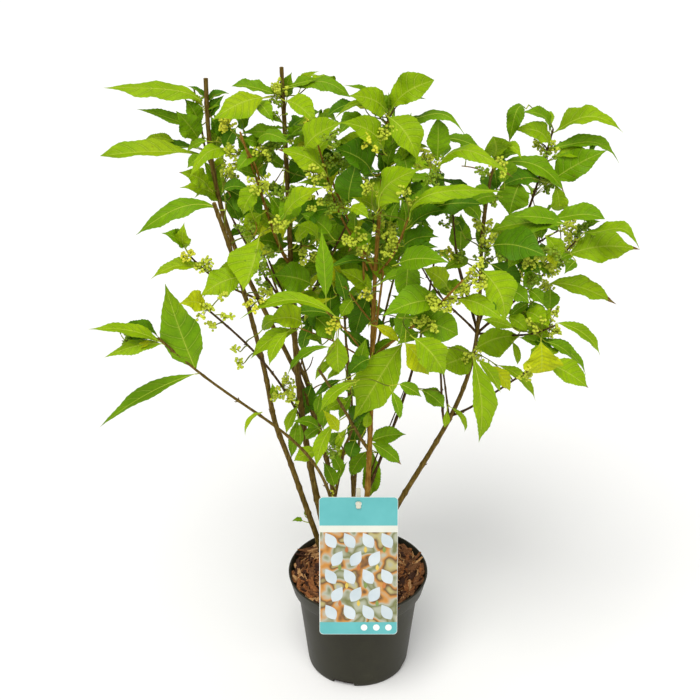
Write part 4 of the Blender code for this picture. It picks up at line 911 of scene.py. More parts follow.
def cluster(centre, root, number, shade, seed, spread=1.0):
    """A loose rounded head of small berries on forking stalks."""
    r = random.Random(seed)
    centre, root = np.asarray(centre, float), np.asarray(root, float)
    number = int(number * 2.3)
    heads = max(2, number // 7)
    size = (3.2 + 1.3 * math.sqrt(number)) * spread
    side = "left" if centre[0] < 0.0 else "right"
    berries = bag(f"berries_{'green' if shade in (M, D) else 'pale' if shade == L else 'gold'}_{side}")
    for h in range(heads):
        z = r.uniform(-0.7, 0.9)
        a = r.random() * 2 * math.pi
        way = np.array((math.sqrt(1 - z * z) * math.cos(a), math.sqrt(1 - z * z) * math.sin(a), z))
        hub = centre + way * size * r.uniform(0.4, 0.95)
        elbow = root + (hub - root) * 0.5 + ZUP * 1.5
        tube("berry_stalks", [root, elbow, hub], [0.55, 0.45, 0.35], sides=4, caps=False)
        for b in range(max(2, number // heads)):
            z2 = r.uniform(-1, 1)
            a2 = r.random() * 2 * math.pi
            away = np.array((math.sqrt(1 - z2 * z2) * math.cos(a2), math.sqrt(1 - z2 * z2) * math.sin(a2), z2))
            p = hub + away * r.uniform(2.0, 4.8)
            radius = r.uniform(1.3, 2.0)
            if hides_wood(p[None]):
                continue
            berries.add(ICO_V * radius * np.array((1, 1, 0.94)) + p, ICO_F)
            tube("berry_stalks", [hub, p], [0.3, 0.26], sides=3, caps=False)


for n, (u, v, number, shade, y) in enumerate(FRUIT):
    p = FRUIT_AT[n]
    i, gap = join_point(p)
    root = LIMB_POINTS[i]
    if gap > 22.0:
        grow_twig(p, name=f"twig_fruit_{n}", kind="green")
        root = p
    else:
        p = p if gap < 12.0 else root + (p - root) * 0.9
    cluster(p, root, number, shade, 900 + n)

# and at the nodes of grown shoots, about one in three
for n, shoot in enumerate(GROWN):
    if shoot.used > 24.0 and rng.random() < 0.36:
        s = shoot.used * rng.uniform(0.5, 0.95)
        at = shoot.at(s)
        ring = np.array([at + RIGHT * dx + UP * dz for dx, dz in ((0, 0), (9, 0), (-9, 0), (0, 9), (0, -9))])
        if not hides_shown(ring) and not in_opening(at, 3.0) and in_leaves(at, 0.0):
            cluster(at, at, rng.randrange(10, 24), rng.choice((L, L, M, M, Y)), 3000 + n)

# what carries nothing is left off, and each grown shoot ends at its last leaves
for shoot in reversed(SHOOTS):
    if shoot.parent and shoot.used > 0.0:
        owner, s = shoot.parent
        if owner.name.startswith("shoot"):
            owner.used = max(owner.used, s + 1.0)
kept = []
for shoot in SHOOTS:
    if shoot.used <= 0.0:
        continue
    if shoot.name.startswith("shoot") and shoot.used < shoot.length - 6.0:
        n = int(np.searchsorted(shoot.along, shoot.used + 3.0)) + 1
        trimmed = Shoot(shoot.name, shoot.points[:n], shoot.radii[:n], shoot.kind)
        if len(trimmed.points) > 2:
            kept.append(trimmed)
    else:
        kept.append(shoot)
SHOOTS = kept

# =============================================================================
# Bark: limbs and twigs with nodes, scars and ridges
# =============================================================================
for n, shoot in enumerate(SHOOTS):
    limb = shoot.name in LIMBS
    r = random.Random(500 + n)
    sides = 12 if limb and shoot.radii[0] > 1.9 else 8 if limb else 6
    if limb:
        points, radii = shoot.points, shoot.radii
    else:
        m = max(4, int(shoot.length / 5.0))
        at = np.linspace(0.0, shoot.length, m)
        points = np.stack([np.interp(at, shoot.along, shoot.points[:, k]) for k in range(3)], axis=1)
        radii = np.interp(at, shoot.along, shoot.radii)
    along = np.concatenate([[0.0], np.cumsum(np.linalg.norm(np.diff(points, axis=0), axis=1))])
    swelling = np.zeros(len(points))
    s = r.uniform(18.0, 40.0)
    nodes = []
    while s < along[-1] - 6.0:
        nodes.append(s)
        swelling += (0.20 if limb else 0.25) * np.exp(-(((along - s) / 3.2) ** 2))
        s += r.uniform(36.0, 58.0) if limb else r.uniform(22.0, 34.0)
    ang = np.arange(sides) * (2 * math.pi / sides)
    ridge = 0.035 * np.sin(3 * ang + r.random() * 6)[None, :] + 0.03 * np.sin(5 * ang + r.random() * 6)[None, :]
    grain = np.array([[noise.noise(Vector((math.cos(a) * 1.6, math.sin(a) * 1.6, z * 0.09 + n * 7.0))) for a in ang] for z in along])
    fine = np.array([[noise.noise(Vector((math.cos(a) * 3.0, math.sin(a) * 3.0, z * 0.45 + n * 3.0))) for a in ang] for z in along])
    wobble = 1.0 + ridge + 0.09 * grain + (0.06 if limb else 0.03) * fine + swelling[:, None]
    tube("green_twigs" if shoot.kind == "green" else "bark_" + shoot.kind, points, radii, sides=sides, wobble=wobble)
    # buds and leaf scars, in opposite pairs at the nodes of the limbs
    if limb:
        spin = r.random() * math.pi
        for s in nodes:
            way = shoot.way(s)
            a = unit(np.cross(way, (0.2, 1.0, 0.3)))
            b = np.cross(way, a)
            for half in (0.0, math.pi):
                if r.random() < 0.35:
                    continue
                out = a * math.cos(spin + half) + b * math.sin(spin + half)
                root = shoot.at(s) + out * shoot.radius(s) * 0.8
                size = r.uniform(1.2, 2.6)
                tube("bark_" + shoot.kind, [root, root + out * size * 0.6 + way * size * 0.5, root + out * size + way * size * 1.4], [0.9, 0.75, 0.15], sides=5)
            spin += math.pi / 2

# =============================================================================
# Materials
# =============================================================================


def new_material(name):
    mat = bpy.data.materials.new(name)
    mat.use_nodes = True
    nt = mat.node_tree
    return mat, nt, nt.nodes["Principled BSDF"]


def node(nt, kind, **values):
    n = nt.nodes.new(kind)
    for key, value in values.items():
        if key in n.inputs.keys():
            n.inputs[key].default_value = value
        else:
            setattr(n, key, value)
    return n


def noise_node(nt, scale, detail=3.0, rough=0.55, vector=None):
    n = node(nt, "ShaderNodeTexNoise")
    n.inputs["Scale"].default_value = scale
    n.inputs["Detail"].default_value = detail
    n.inputs["Roughness"].default_value = rough
    if vector is not None:
        nt.links.new(vector, n.inputs["Vector"])
    return n


def ramp(nt, source, stops):
    n = node(nt, "ShaderNodeValToRGB")
    el = n.color_ramp.elements
    while len(el) < len(stops):
        el.new(0.5)
    for e, (at, colour) in zip(el, stops):
        e.position = at
        e.color = (*colour, 1.0)
    nt.links.new(source, n.inputs["Fac"])
    return n


def math_node(nt, operation, a, b=None, c=None):
    n = node(nt, "ShaderNodeMath", operation=operation)
    for i, x in enumerate((a, b, c)):
        if x is None:
            continue
        if isinstance(x, (int, float)):
            n.inputs[i].default_value = x
        else:
            nt.links.new(x, n.inputs[i])
    return n.outputs[0]


def mix_colour(nt, fac, a, b, blend="MIX"):
    n = node(nt, "ShaderNodeMix", data_type="RGBA", blend_type=blend)
    if isinstance(fac, (int, float)):
        n.inputs[0].default_value = fac
    else:
        nt.links.new(fac, n.inputs[0])
    for socket, x in ((n.inputs[6], a), (n.inputs[7], b)):
        if isinstance(x, tuple):
            socket.default_value = (*x, 1.0)
        else:
            nt.links.new(x, socket)
    return n.outputs[2]


def bump(nt, shader, height, strength, distance):
    n = node(nt, "ShaderNodeBump")
    n.inputs["Strength"].default_value = strength
    n.inputs["Distance"].default_value = distance
    nt.links.new(height, n.inputs["Height"])
    nt.links.new(n.outputs[0], shader.inputs["Normal"])
    return n


def object_coords(nt):
    return node(nt, "ShaderNodeTexCoord").outputs["Object"]


def band(nt, value, low, high, top):
    """0 up to low, rising to top at high."""
    n = node(nt, "ShaderNodeMapRange")
    n.inputs["From Min"].default_value = low
    n.inputs["From Max"].default_value = high
    n.inputs["To Max"].default_value = top
    nt.links.new(value, n.inputs["Value"])
    return n.outputs[0]


def leaf_material(name, low, high, vein):
    """A leaf: clouded green, quilted between fine side veins that lie in grooves, with painted shade along the grooves
    and along the recessed fine net.
    """
    mat, nt, shader = new_material(name)
    at = object_coords(nt)
    mottle = noise_node(nt, 26.0, 5.0, 0.62, at)
    base = ramp(nt, mottle.outputs["Fac"], [(0.30, low), (0.70, high)])
    drift = noise_node(nt, 9.0, 2.0, 0.5, at)
    deep = tuple(0.62 * x for x in low)
    warm = (high[0] * 1.18, high[1] * 1.02, high[2])
    colour = mix_colour(nt, band(nt, drift.outputs["Fac"], 0.56, 0.68, 0.6), base.outputs[0], warm)
    colour = mix_colour(nt, band(nt, drift.outputs["Fac"], 0.45, 0.33, 0.55), colour, deep)
    uv = node(nt, "ShaderNodeUVMap")
    parts = node(nt, "ShaderNodeSeparateXYZ")
    nt.links.new(uv.outputs[0], parts.inputs[0])
    across = math_node(nt, "MULTIPLY", math_node(nt, "ABSOLUTE", math_node(nt, "SUBTRACT", parts.outputs[0], 0.5)), 2.0)
    ahead = math_node(nt, "MULTIPLY", math_node(nt, "POWER", across, 1.3), VEIN_SLOPE)
    run = math_node(nt, "MULTIPLY", math_node(nt, "SUBTRACT", parts.outputs[1], ahead), VEINS)
    saw = math_node(nt, "ABSOLUTE", math_node(nt, "SUBTRACT", math_node(nt, "FRACT", run), 0.5))
    # painted shade: the blade turns towards the deep colour near the side veins, down in their grooves
    colour = mix_colour(nt, band(nt, saw, 0.26, 0.44, 0.42), colour, deep)
    colour = mix_colour(nt, band(nt, saw, 0.45, 0.49, 0.55), colour, vein)
    colour = mix_colour(nt, band(nt, across, 0.10, 0.0, 0.35), colour, vein)
    net = node(nt, "ShaderNodeTexVoronoi", feature="DISTANCE_TO_EDGE")
    net.inputs["Scale"].default_value = 330.0
    nt.links.new(at, net.inputs["Vector"])
    # painted shade: darker along the edges of the fine net, which the bump below sinks
    colour = mix_colour(nt, band(nt, net.outputs["Distance"], 0.12, 0.0, 0.28), colour, deep)
    spots = noise_node(nt, 130.0, 2.0, 0.5, at)
    colour = mix_colour(nt, band(nt, spots.outputs["Fac"], 0.70, 0.78, 0.5), colour, (0.16, 0.11, 0.015))
    nt.links.new(colour, shader.inputs["Base Color"])
    rough = node(nt, "ShaderNodeMapRange")
    rough.inputs["To Min"].default_value = 0.40
    rough.inputs["To Max"].default_value = 0.60
    nt.links.new(mottle.outputs["Fac"], rough.inputs["Value"])
    nt.links.new(rough.outputs[0], shader.inputs["Roughness"])
    shader.inputs["Specular IOR Level"].default_value = 0.10
    groove = math_node(nt, "MULTIPLY", band(nt, saw, 0.36, 0.5, 1.0), -1.0)
    height = math_node(nt, "ADD", groove, math_node(nt, "MULTIPLY", band(nt, net.outputs["Distance"], 0.0, 0.3, 1.0), 0.5))
    bump(nt, shader, height, 0.5, 0.0006)
    return mat


def bark_material(name, dark, mid, pale, streak=0.2):
    mat, nt, shader = new_material(name)
    at = object_coords(nt)
    stretch = node(nt, "ShaderNodeMapping")
    stretch.inputs["Scale"].default_value = (1.0, 1.0, streak)
    nt.links.new(at, stretch.inputs["Vector"])
    strands = noise_node(nt, 520.0, 4.0, 0.6, stretch.outputs[0])
    patches = noise_node(nt, 46.0, 3.0, 0.6, at)
    colour = ramp(nt, strands.outputs["Fac"], [(0.3, dark), (0.52, mid), (0.74, pale)])
    weather = mix_colour(nt, math_node(nt, "MULTIPLY", patches.outputs["Fac"], 0.55), colour.outputs[0], dark)
    nt.links.new(weather, shader.inputs["Base Color"])
    shader.inputs["Roughness"].default_value = 0.78
    shader.inputs["Specular IOR Level"].default_value = 0.12
    bump(nt, shader, strands.outputs["Fac"], 0.7, 0.0005)
    return mat


def plain_material(name, low, high, roughness, scale=60.0, specular=0.4, relief=0.0, relief_scale=400.0):
    mat, nt, shader = new_material(name)
    at = object_coords(nt)
    cloud = noise_node(nt, scale, 3.0, 0.55, at)
    colour = ramp(nt, cloud.outputs["Fac"], [(0.3, low), (0.7, high)])
    nt.links.new(colour.outputs[0], shader.inputs["Base Color"])
    shader.inputs["Roughness"].default_value = roughness
    shader.inputs["Specular IOR Level"].default_value = specular
    if relief:
        fine = noise_node(nt, relief_scale, 3.0, 0.6, at)
        bump(nt, shader, fine.outputs["Fac"], 0.6, relief)
    return mat


MATERIALS = {
    "leaves_light": leaf_material("leaf_light", (0.204, 0.366, 0.001), (0.318, 0.488, 0.003), (0.56, 0.66, 0.07)),
    "leaves_mid": leaf_material("leaf_mid", (0.126, 0.278, 0.001), (0.212, 0.394, 0.003), (0.40, 0.54, 0.05)),
    "leaves_deep": leaf_material("leaf_deep", (0.058, 0.164, 0.001), (0.104, 0.254, 0.003), (0.24, 0.38, 0.03)),
    "leaves_gold": leaf_material("leaf_gold", (0.36, 0.46, 0.001), (0.52, 0.58, 0.006), (0.60, 0.66, 0.05)),
    "leaf_tips_dry": plain_material("leaf_tip_dry", (0.10, 0.045, 0.012), (0.24, 0.14, 0.03), 0.8, 120.0, 0.1, 0.0003),
    "leaf_ribs": plain_material("leaf_rib", (0.38, 0.50, 0.03), (0.52, 0.62, 0.07), 0.55, 90.0, 0.2),
    "petioles": plain_material("petiole", (0.28, 0.36, 0.01), (0.44, 0.50, 0.03), 0.55, 90.0, 0.2),
    "green_twigs": plain_material("green_twig", (0.10, 0.12, 0.008), (0.22, 0.26, 0.015), 0.6, 70.0, 0.15, 0.0002),
    "berries_pale": plain_material("berry_pale", (0.42, 0.52, 0.02), (0.62, 0.68, 0.06), 0.45, 140.0, 0.22, 0.0001, 900.0),
    "berries_green": plain_material("berry_green", (0.14, 0.25, 0.004), (0.28, 0.40, 0.02), 0.45, 140.0, 0.22, 0.0001, 900.0),
    "berries_gold": plain_material("berry_gold", (0.58, 0.60, 0.02), (0.74, 0.74, 0.06), 0.45, 140.0, 0.22, 0.0001, 900.0),
    "berry_stalks": plain_material("berry_stalk", (0.22, 0.26, 0.01), (0.38, 0.42, 0.03), 0.6, 120.0, 0.2),
    "bark_olive": bark_material("bark_olive", (0.065, 0.038, 0.005), (0.165, 0.105, 0.018), (0.34, 0.23, 0.055)),
    "bark_russet": bark_material("bark_russet", (0.14, 0.065, 0.006), (0.34, 0.175, 0.022), (0.54, 0.34, 0.07)),
    "bark_plum": bark_material("bark_plum", (0.036, 0.018, 0.005), (0.090, 0.048, 0.014), (0.20, 0.12, 0.04)),
}

PIECES = {}
for name, store in BAGS.items():
    PIECES[name] = store.make(MATERIALS[name.replace("_left", "").replace("_right", "")])
    print(name, store.triangles())

leaf_nodes = [n for n in NODES if n.startswith("leaves")]
wood_nodes = {
    kind: [n for n in NODES if n in LIMBS and LIMBS[n][6] == kind] for kind in ("olive", "russet", "plum")
}
for name, obj in PIECES.items():
    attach(obj, "root")
    if name.startswith("bark_"):
        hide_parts(*wood_nodes[name[5:]])
    else:
        if name.startswith("leaves_"):
            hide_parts(*leaf_nodes)

# =============================================================================
# Pot
# =============================================================================
STEPS = 160


def turned(name, profile, material):
    """A closed ring of (radius, height) points in mm, turned about the Z axis."""
    store = Bag(name)
    prof = np.array(profile, float)
    ang = np.arange(STEPS) * (2 * math.pi / STEPS)
    verts = np.stack(
        [prof[None, :, 0] * np.cos(ang)[:, None], prof[None, :, 0] * np.sin(ang)[:, None], np.broadcast_to(prof[None, :, 1], (STEPS, len(prof)))],
        axis=-1,
    )
    m = len(prof)
    idx = np.arange(STEPS * m).reshape(STEPS, m)
    nxt = np.roll(idx, -1, axis=0)
    quads = np.stack([idx[:, :-1], nxt[:, :-1], nxt[:, 1:], idx[:, 1:]], axis=-1).reshape(-1, 4)
    store.add(verts, quads)
    return store.make(material)


def weld(obj, distance=0.00001):
    bm = bmesh.new()
    bm.from_mesh(obj.data)
    bmesh.ops.remove_doubles(bm, verts=bm.verts, dist=distance)
    bmesh.ops.recalc_face_normals(bm, faces=bm.faces)
    bm.to_mesh(obj.data)
    bm.free()


def pot_material():
    mat, nt, shader = new_material("pot_black")
    at = object_coords(nt)
    scuffs = noise_node(nt, 38.0, 5.0, 0.65, at)
    colour = ramp(nt, scuffs.outputs["Fac"], [(0.35, (0.013, 0.012, 0.006)), (0.62, (0.020, 0.019, 0.010)), (0.8, (0.036, 0.034, 0.020))])
    nt.links.new(colour.outputs[0], shader.inputs["Base Color"])
    rough = node(nt, "ShaderNodeMapRange")
    rough.inputs["To Min"].default_value = 0.38
    rough.inputs["To Max"].default_value = 0.6
    nt.links.new(scuffs.outputs["Fac"], rough.inputs["Value"])
    nt.links.new(rough.outputs[0], shader.inputs["Roughness"])
    shader.inputs["Specular IOR Level"].default_value = 0.30
    shader.inputs["Specular Tint"].default_value = (1.0, 0.97, 0.82, 1.0)
    # the faint level rings that a blown pot keeps from its mould, and a fine grain
    parts = node(nt, "ShaderNodeSeparateXYZ")
    nt.links.new(at, parts.inputs[0])
    rings = math_node(nt, "SINE", math_node(nt, "MULTIPLY", parts.outputs[2], 1400.0))
    grain = noise_node(nt, 1500.0, 2.0, 0.5, at)
    height = math_node(nt, "ADD", math_node(nt, "MULTIPLY", rings, 0.10), grain.outputs["Fac"])
    bump(nt, shader, height, 0.22, 0.0003)
    return mat


wall = 1.7
pot_profile = [
    (0.0, 2.2), (50.0, 2.2), (62.0, 2.2), (65.5, 2.6), (67.4, 5.0), (68.2, 9.0),
    (74.0, 60.0), (81.2, 125.6), (84.0, 127.0), (87.3, 128.4), (88.2, 131.0), (92.4, 149.2),
    (92.9, 149.9), (93.7, 150.0), (94.5, 149.9), (94.95, 149.4), (95.0, 148.6), (94.9, 147.6), (94.4, 146.6), (94.2, 145.6),
    (89.4, 126.6), (89.0, 125.7), (88.2, 125.2), (86.0, 124.9), (84.0, 124.7), (83.2, 124.2), (82.8, 123.0),
    (80.6, 105.0), (75.5, 60.0), (70.6, 15.0), (69.9, 9.0), (69.6, 6.5), (69.0, 3.8), (68.3, 1.8), (67.5, 0.6), (66.6, 0.05), (65.0, 0.0),
    (55.0, 0.0), (50.0, 0.0), (0.0, 0.0),
]
pot_obj = turned("pot_shell", pot_profile, pot_material())
weld(pot_obj)
for k, angle in enumerate((-107.0, -17.0, 73.0, 163.0)):
    bm = bmesh.new()
    bmesh.ops.create_cube(bm, size=1.0)
    bmesh.ops.scale(bm, vec=(0.024, 0.030, 0.0125), verts=bm.verts)
    bmesh.ops.bevel(bm, geom=[e for e in bm.edges if abs(e.verts[0].co.y - e.verts[1].co.y) < 1e-6 and abs(e.verts[0].co.z - e.verts[1].co.z) < 1e-6], offset=0.002, segments=3, affect="EDGES")
    bmesh.ops.translate(bm, vec=(0.0704, 0.0, 0.00225), verts=bm.verts)
    bmesh.ops.rotate(bm, cent=(0, 0, 0), matrix=Matrix.Rotation(math.radians(angle), 3, "Z"), verts=bm.verts)
    me = bpy.data.meshes.new(f"notch_{k}")
    bm.to_mesh(me)
    bm.free()
    cutter = bpy.data.objects.new(f"notch_{k}", me)
    bpy.context.scene.collection.objects.link(cutter)
    mod = pot_obj.modifiers.new(f"notch_{k}", "BOOLEAN")
    mod.operation = "DIFFERENCE"
    mod.solver = "EXACT"
    mod.object = cutter
bpy.context.view_layer.update()
cut_mesh = bpy.data.meshes.new_from_object(pot_obj.evaluated_get(bpy.context.evaluated_depsgraph_get()))
pot_obj.modifiers.clear()
pot_obj.data = cut_mesh
for obj in [o for o in bpy.data.objects if o.name.startswith("notch_")]:
    bpy.data.objects.remove(obj, do_unlink=True)
cut_mesh.shade_smooth()
cut_mesh.set_sharp_from_angle(angle=math.radians(38.0))
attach(pot_obj, "root")
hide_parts("pot")

# =============================================================================
# Bark mulch on the root ball
# =============================================================================
MULCH_RADIUS = 87.6


def mulch_height(x, y):
    r = math.hypot(x, y) / MULCH_RADIUS
    lumps = noise.noise(Vector((x * 0.035, y * 0.035, 3.0))) * 3.2 + noise.noise(Vector((x * 0.11, y * 0.11, 8.0))) * 1.8
    return 137.0 + 2.5 * (1.0 - r**2.5) + lumps * (1.0 - r**8 * 0.6)


bed = Bag("mulch_bed")
rings, spokes = 34, 96
verts = [(0.0, 0.0, mulch_height(0, 0))]
for i in range(1, rings + 1):
    for j in range(spokes):
        a = 2 * math.pi * j / spokes
        rad = MULCH_RADIUS * i / rings
        x, y = rad * math.cos(a), rad * math.sin(a)
        verts.append((x, y, mulch_height(x, y)))
tri = [(0, 1 + j, 1 + (j + 1) % spokes) for j in range(spokes)]
quad = [
    (1 + (i - 1) * spokes + j, 1 + i * spokes + j, 1 + i * spokes + (j + 1) % spokes, 1 + (i - 1) * spokes + (j + 1) % spokes)
    for i in range(1, rings)
    for j in range(spokes)
]
bed.add(verts, tri)
bed.add(verts, quad)
# the sides and underside of the root ball, inside the pot
side = [(MULCH_RADIUS, None), (86.6, 128.8), (80.9, 125.8), (67.8, 9.6), (65.3, 2.6), (0.0, 2.6)]
ring_v = []
for rad, z in side:
    for j in range(spokes):
        a = 2 * math.pi * j / spokes
        x, y = rad * math.cos(a), rad * math.sin(a)
        ring_v.append((x, y, mulch_height(x, y) if z is None else z))
quad = [
    (i * spokes + j, (i + 1) * spokes + j, (i + 1) * spokes + (j + 1) % spokes, i * spokes + (j + 1) % spokes)
    for i in range(len(side) - 1)
    for j in range(spokes)
]
bed.add(ring_v, quad)


def chip(store, centre, long, wide, thick, yaw, pitch, roll, seed):
    """A splinter of bark: an uneven slab with ragged ends."""
    r = random.Random(seed)
    n = 5
    top, bottom = [], []
    bend = r.uniform(-0.16, 0.16) * long
    for i in range(n + 1):
        t = i / n
        x = (t - 0.5) * long
        w = wide * (0.45 + 0.55 * math.sin(math.pi * (0.12 + 0.76 * t))) * r.uniform(0.8, 1.2)
        shift = bend * math.sin(math.pi * t) + r.uniform(-0.08, 0.08) * wide
        z = r.uniform(-0.2, 0.2) * thick
        top += [(x + r.uniform(-1, 1), shift - w / 2, z + thick / 2), (x + r.uniform(-1, 1), shift + r.uniform(-0.1, 0.1) * w, z + thick * r.uniform(0.6, 0.95)), (x, shift + w / 2, z + thick / 2)]
        bottom += [(x, shift - w / 2 * 0.9, z - thick / 2), (x, shift + w / 2 * 0.9, z - thick / 2)]
    verts = np.array(top + bottom)
    m = 3 * (n + 1)
    quads = []
    for i in range(n):
        a, b = 3 * i, 3 * (i + 1)
        c, d = m + 2 * i, m + 2 * (i + 1)
        quads += [(a, a + 1, b + 1, b), (a + 1, a + 2, b + 2, b + 1), (c + 1, c, d, d + 1), (c, a, b, d), (a + 2, c + 1, d + 1, b + 2)]
    e = m + 2 * n
    tris = [(0, m, 1), (m, m + 1, 1), (m + 1, 2, 1), (3 * n, 3 * n + 1, e), (e, 3 * n + 1, e + 1), (e + 1, 3 * n + 1, 3 * n + 2)]
    turn = Matrix.Rotation(yaw, 3, "Z") @ Matrix.Rotation(pitch, 3, "Y") @ Matrix.Rotation(roll, 3, "X")
    verts = verts @ np.array(turn).T + np.array(centre)
    store.add(verts, quads)
    store.add(verts, tris)


chips = {k: Bag("mulch_" + k) for k in ("dark", "brown", "russet", "tan")}
r = random.Random(77)
feet = [(row[0][0], row[0][1]) for row in LIMBS.values() if not isinstance(row[0][0], str)]
for n in range(1250):
    rad = MULCH_RADIUS * math.sqrt(r.random()) * 0.985
    a = r.random() * 2 * math.pi
    x, y = rad * math.cos(a), rad * math.sin(a)
    if min(math.hypot(x - fx, y - fy) for fx, fy in feet) < 7.0:
        continue
    kind = r.choices(("dark", "brown", "russet", "tan"), (0.30, 0.36, 0.24, 0.10) if n < 740 else (0.12, 0.28, 0.30, 0.30))[0]
    if n < 560:
        long, wide, thick = r.uniform(12, 26), r.uniform(2.6, 6.0), r.uniform(1.0, 2.4)
    elif n < 740:
        long, wide, thick = r.uniform(20, 34), r.uniform(5, 10), r.uniform(1.8, 3.4)
    else:
        long, wide, thick = r.uniform(8, 20), r.uniform(0.9, 2.0), r.uniform(0.6, 1.1)
    yaw = r.random() * 2 * math.pi
    if rad > 66.0:
        yaw = a + math.pi / 2 + r.uniform(-0.55, 0.55)
    room = math.sqrt(max(91.0**2 - rad**2, 30.0)) * (2.0 if rad > 66.0 else 1.0)
    long = min(long, room if rad > 66.0 else 2.0 * (90.0 - rad))
    z = mulch_height(x, y) + r.uniform(0.3, 3.6) + (1.4 if n >= 740 else 0.0) + 5.0 * (rad / MULCH_RADIUS) ** 4
    chip(chips[kind], (x, y, z), long, wide, thick, yaw, r.uniform(-0.3, 0.3), r.uniform(-0.6, 0.6), 4000 + n)
# a few splinters reach over the rim, as they do on the left and right
for n, (a, lift) in enumerate(((152, 15.5), (158, 14.0), (20, 14.5), (14, 13.0), (100, 14.0), (75, 13.5), (250, 12.0))):
    a = math.radians(a)
    chip(chips[("brown", "dark", "brown", "tan")[n % 4]], (86.5 * math.cos(a), 86.5 * math.sin(a), 134.5 + lift), 16.0, 3.6, 1.4, a + 0.5, -0.3, 0.2, 9000 + n)


def mulch_material(name, dark, mid, pale):
    mat, nt, shader = new_material(name)
    at = object_coords(nt)
    fibre = noise_node(nt, 420.0, 5.0, 0.7, at)
    patch = noise_node(nt, 70.0, 2.0, 0.5, at)
    colour = ramp(nt, fibre.outputs["Fac"], [(0.3, dark), (0.5, mid), (0.72, pale)])
    mixed = mix_colour(nt, math_node(nt, "MULTIPLY", patch.outputs["Fac"], 0.6), colour.outputs[0], dark)
    nt.links.new(mixed, shader.inputs["Base Color"])
    shader.inputs["Roughness"].default_value = 0.82
    shader.inputs["Specular IOR Level"].default_value = 0.25
    bump(nt, shader, fibre.outputs["Fac"], 0.9, 0.0009)
    return mat


mulch = {
    "bed": mulch_material("mulch_bed", (0.010, 0.005, 0.003), (0.022, 0.011, 0.006), (0.05, 0.024, 0.012)),
    "dark": mulch_material("mulch_dark", (0.022, 0.008, 0.004), (0.065, 0.024, 0.011), (0.13, 0.055, 0.024)),
    "brown": mulch_material("mulch_brown", (0.075, 0.026, 0.009), (0.21, 0.085, 0.030), (0.40, 0.20, 0.075)),
    "russet": mulch_material("mulch_russet", (0.14, 0.042, 0.012), (0.34, 0.125, 0.036), (0.56, 0.26, 0.09)),
    "tan": mulch_material("mulch_tan", (0.32, 0.15, 0.05), (0.58, 0.32, 0.13), (0.78, 0.54, 0.28)),
}
bed_obj = bed.make(mulch["bed"])
weld(bed_obj)
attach(bed_obj, "root")
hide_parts("root_ball")
for kind, store in chips.items():
    obj = store.make(mulch[kind], smooth=False)
    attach(obj, "root")
    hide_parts("root_ball")

# =============================================================================
# Care tag: a plastic label with coloured fields and a made-up autumn pattern
# =============================================================================
TAG_W, TAG_H, TAG_THICK, TAG_CORNER = 102.0, 188.0, 0.8, 5.0
LEAN = math.radians(17.0)
tag_turn = Matrix.Rotation(-LEAN, 3, "X") @ Matrix.Rotation(math.radians(90.0), 3, "X")
touch_y = -(95.0 + (0.6 + TAG_THICK / 2.0) / math.cos(LEAN))
tag_foot = Vector((0.0, touch_y - (150.0 - 122.0) * math.tan(LEAN), 122.0))
TAG_TURN = np.array(tag_turn)
TAG_FOOT = np.array(tag_foot)


def on_tag(points, height):
    """Points (x, y) on the tag's face at a height off its middle plane, in mm."""
    pts = np.array([(x, y, height) for x, y in points], float)
    return pts @ TAG_TURN.T + TAG_FOOT


def round_rect(x0, y0, x1, y1, corner, steps=8, corners=(True, True, True, True)):
    """Outline with round corners, from the lower left turning left."""
    pts = []
    for k, (cx, cy, a0) in enumerate(((x1, y1, 0), (x0, y1, 90), (x0, y0, 180), (x1, y0, 270))):
        rad = corner if corners[k] else 0.0
        ox = cx - rad if k in (0, 3) else cx + rad
        oy = cy - rad if k in (0, 1) else cy + rad
        for i in range(steps + 1 if rad else 1):
            a = math.radians(a0 + 90.0 * i / steps)
            pts.append((ox + rad * math.cos(a), oy + rad * math.sin(a)))
    return pts


def flat_piece(name, outlines, height, material, thick=0.0):
    """Flat shapes on the tag, each a filled outline."""
    bm = bmesh.new()
    for outline in outlines:
        vs = [bm.verts.new(Vector(p) * MM) for p in on_tag(outline, height)]
        edges = [bm.edges.new((a, b)) for a, b in zip(vs, vs[1:] + vs[:1])]
        bmesh.ops.triangle_fill(bm, use_beauty=True, use_dissolve=False, edges=edges)
    face_way = Vector(TAG_TURN @ np.array((0, 0, 1.0)))
    for f in bm.faces:
        if f.normal.dot(face_way) < 0:
            f.normal_flip()
    if thick:
        made = bmesh.ops.extrude_face_region(bm, geom=bm.faces[:])
        bmesh.ops.translate(bm, vec=face_way * (-thick * MM), verts=[v for v in made["geom"] if isinstance(v, bmesh.types.BMVert)])
        bmesh.ops.recalc_face_normals(bm, faces=bm.faces)
    me = bpy.data.meshes.new(name)
    bm.to_mesh(me)
    bm.free()
    me.materials.append(material)
    obj = bpy.data.objects.new(name, me)
    bpy.context.scene.collection.objects.link(obj)
    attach(obj, "root")
    return obj


def tag_material(name, low, high, roughness=0.34):
    return plain_material(name, low, high, roughness, 30.0, 0.5, 0.00006, 260.0)


teal = tag_material("tag_teal", (0.100, 0.42, 0.43), (0.125, 0.47, 0.48))
ivory = tag_material("tag_ivory", (0.68, 0.69, 0.61), (0.74, 0.75, 0.67))
pale = tag_material("tag_pale", (0.66, 0.80, 0.76), (0.74, 0.86, 0.82))
white = tag_material("tag_white", (0.80, 0.82, 0.80), (0.88, 0.89, 0.86))

X0, X1 = -TAG_W / 2, TAG_W / 2
slot_y = TAG_H - 9.0


def slot_outline(grow=0.0):
    return [(x, y) for x, y in round_rect(-4.0 - grow, slot_y - 2.5 - grow, 4.0 + grow, slot_y + 2.5 + grow, 2.0 + grow, steps=5)]


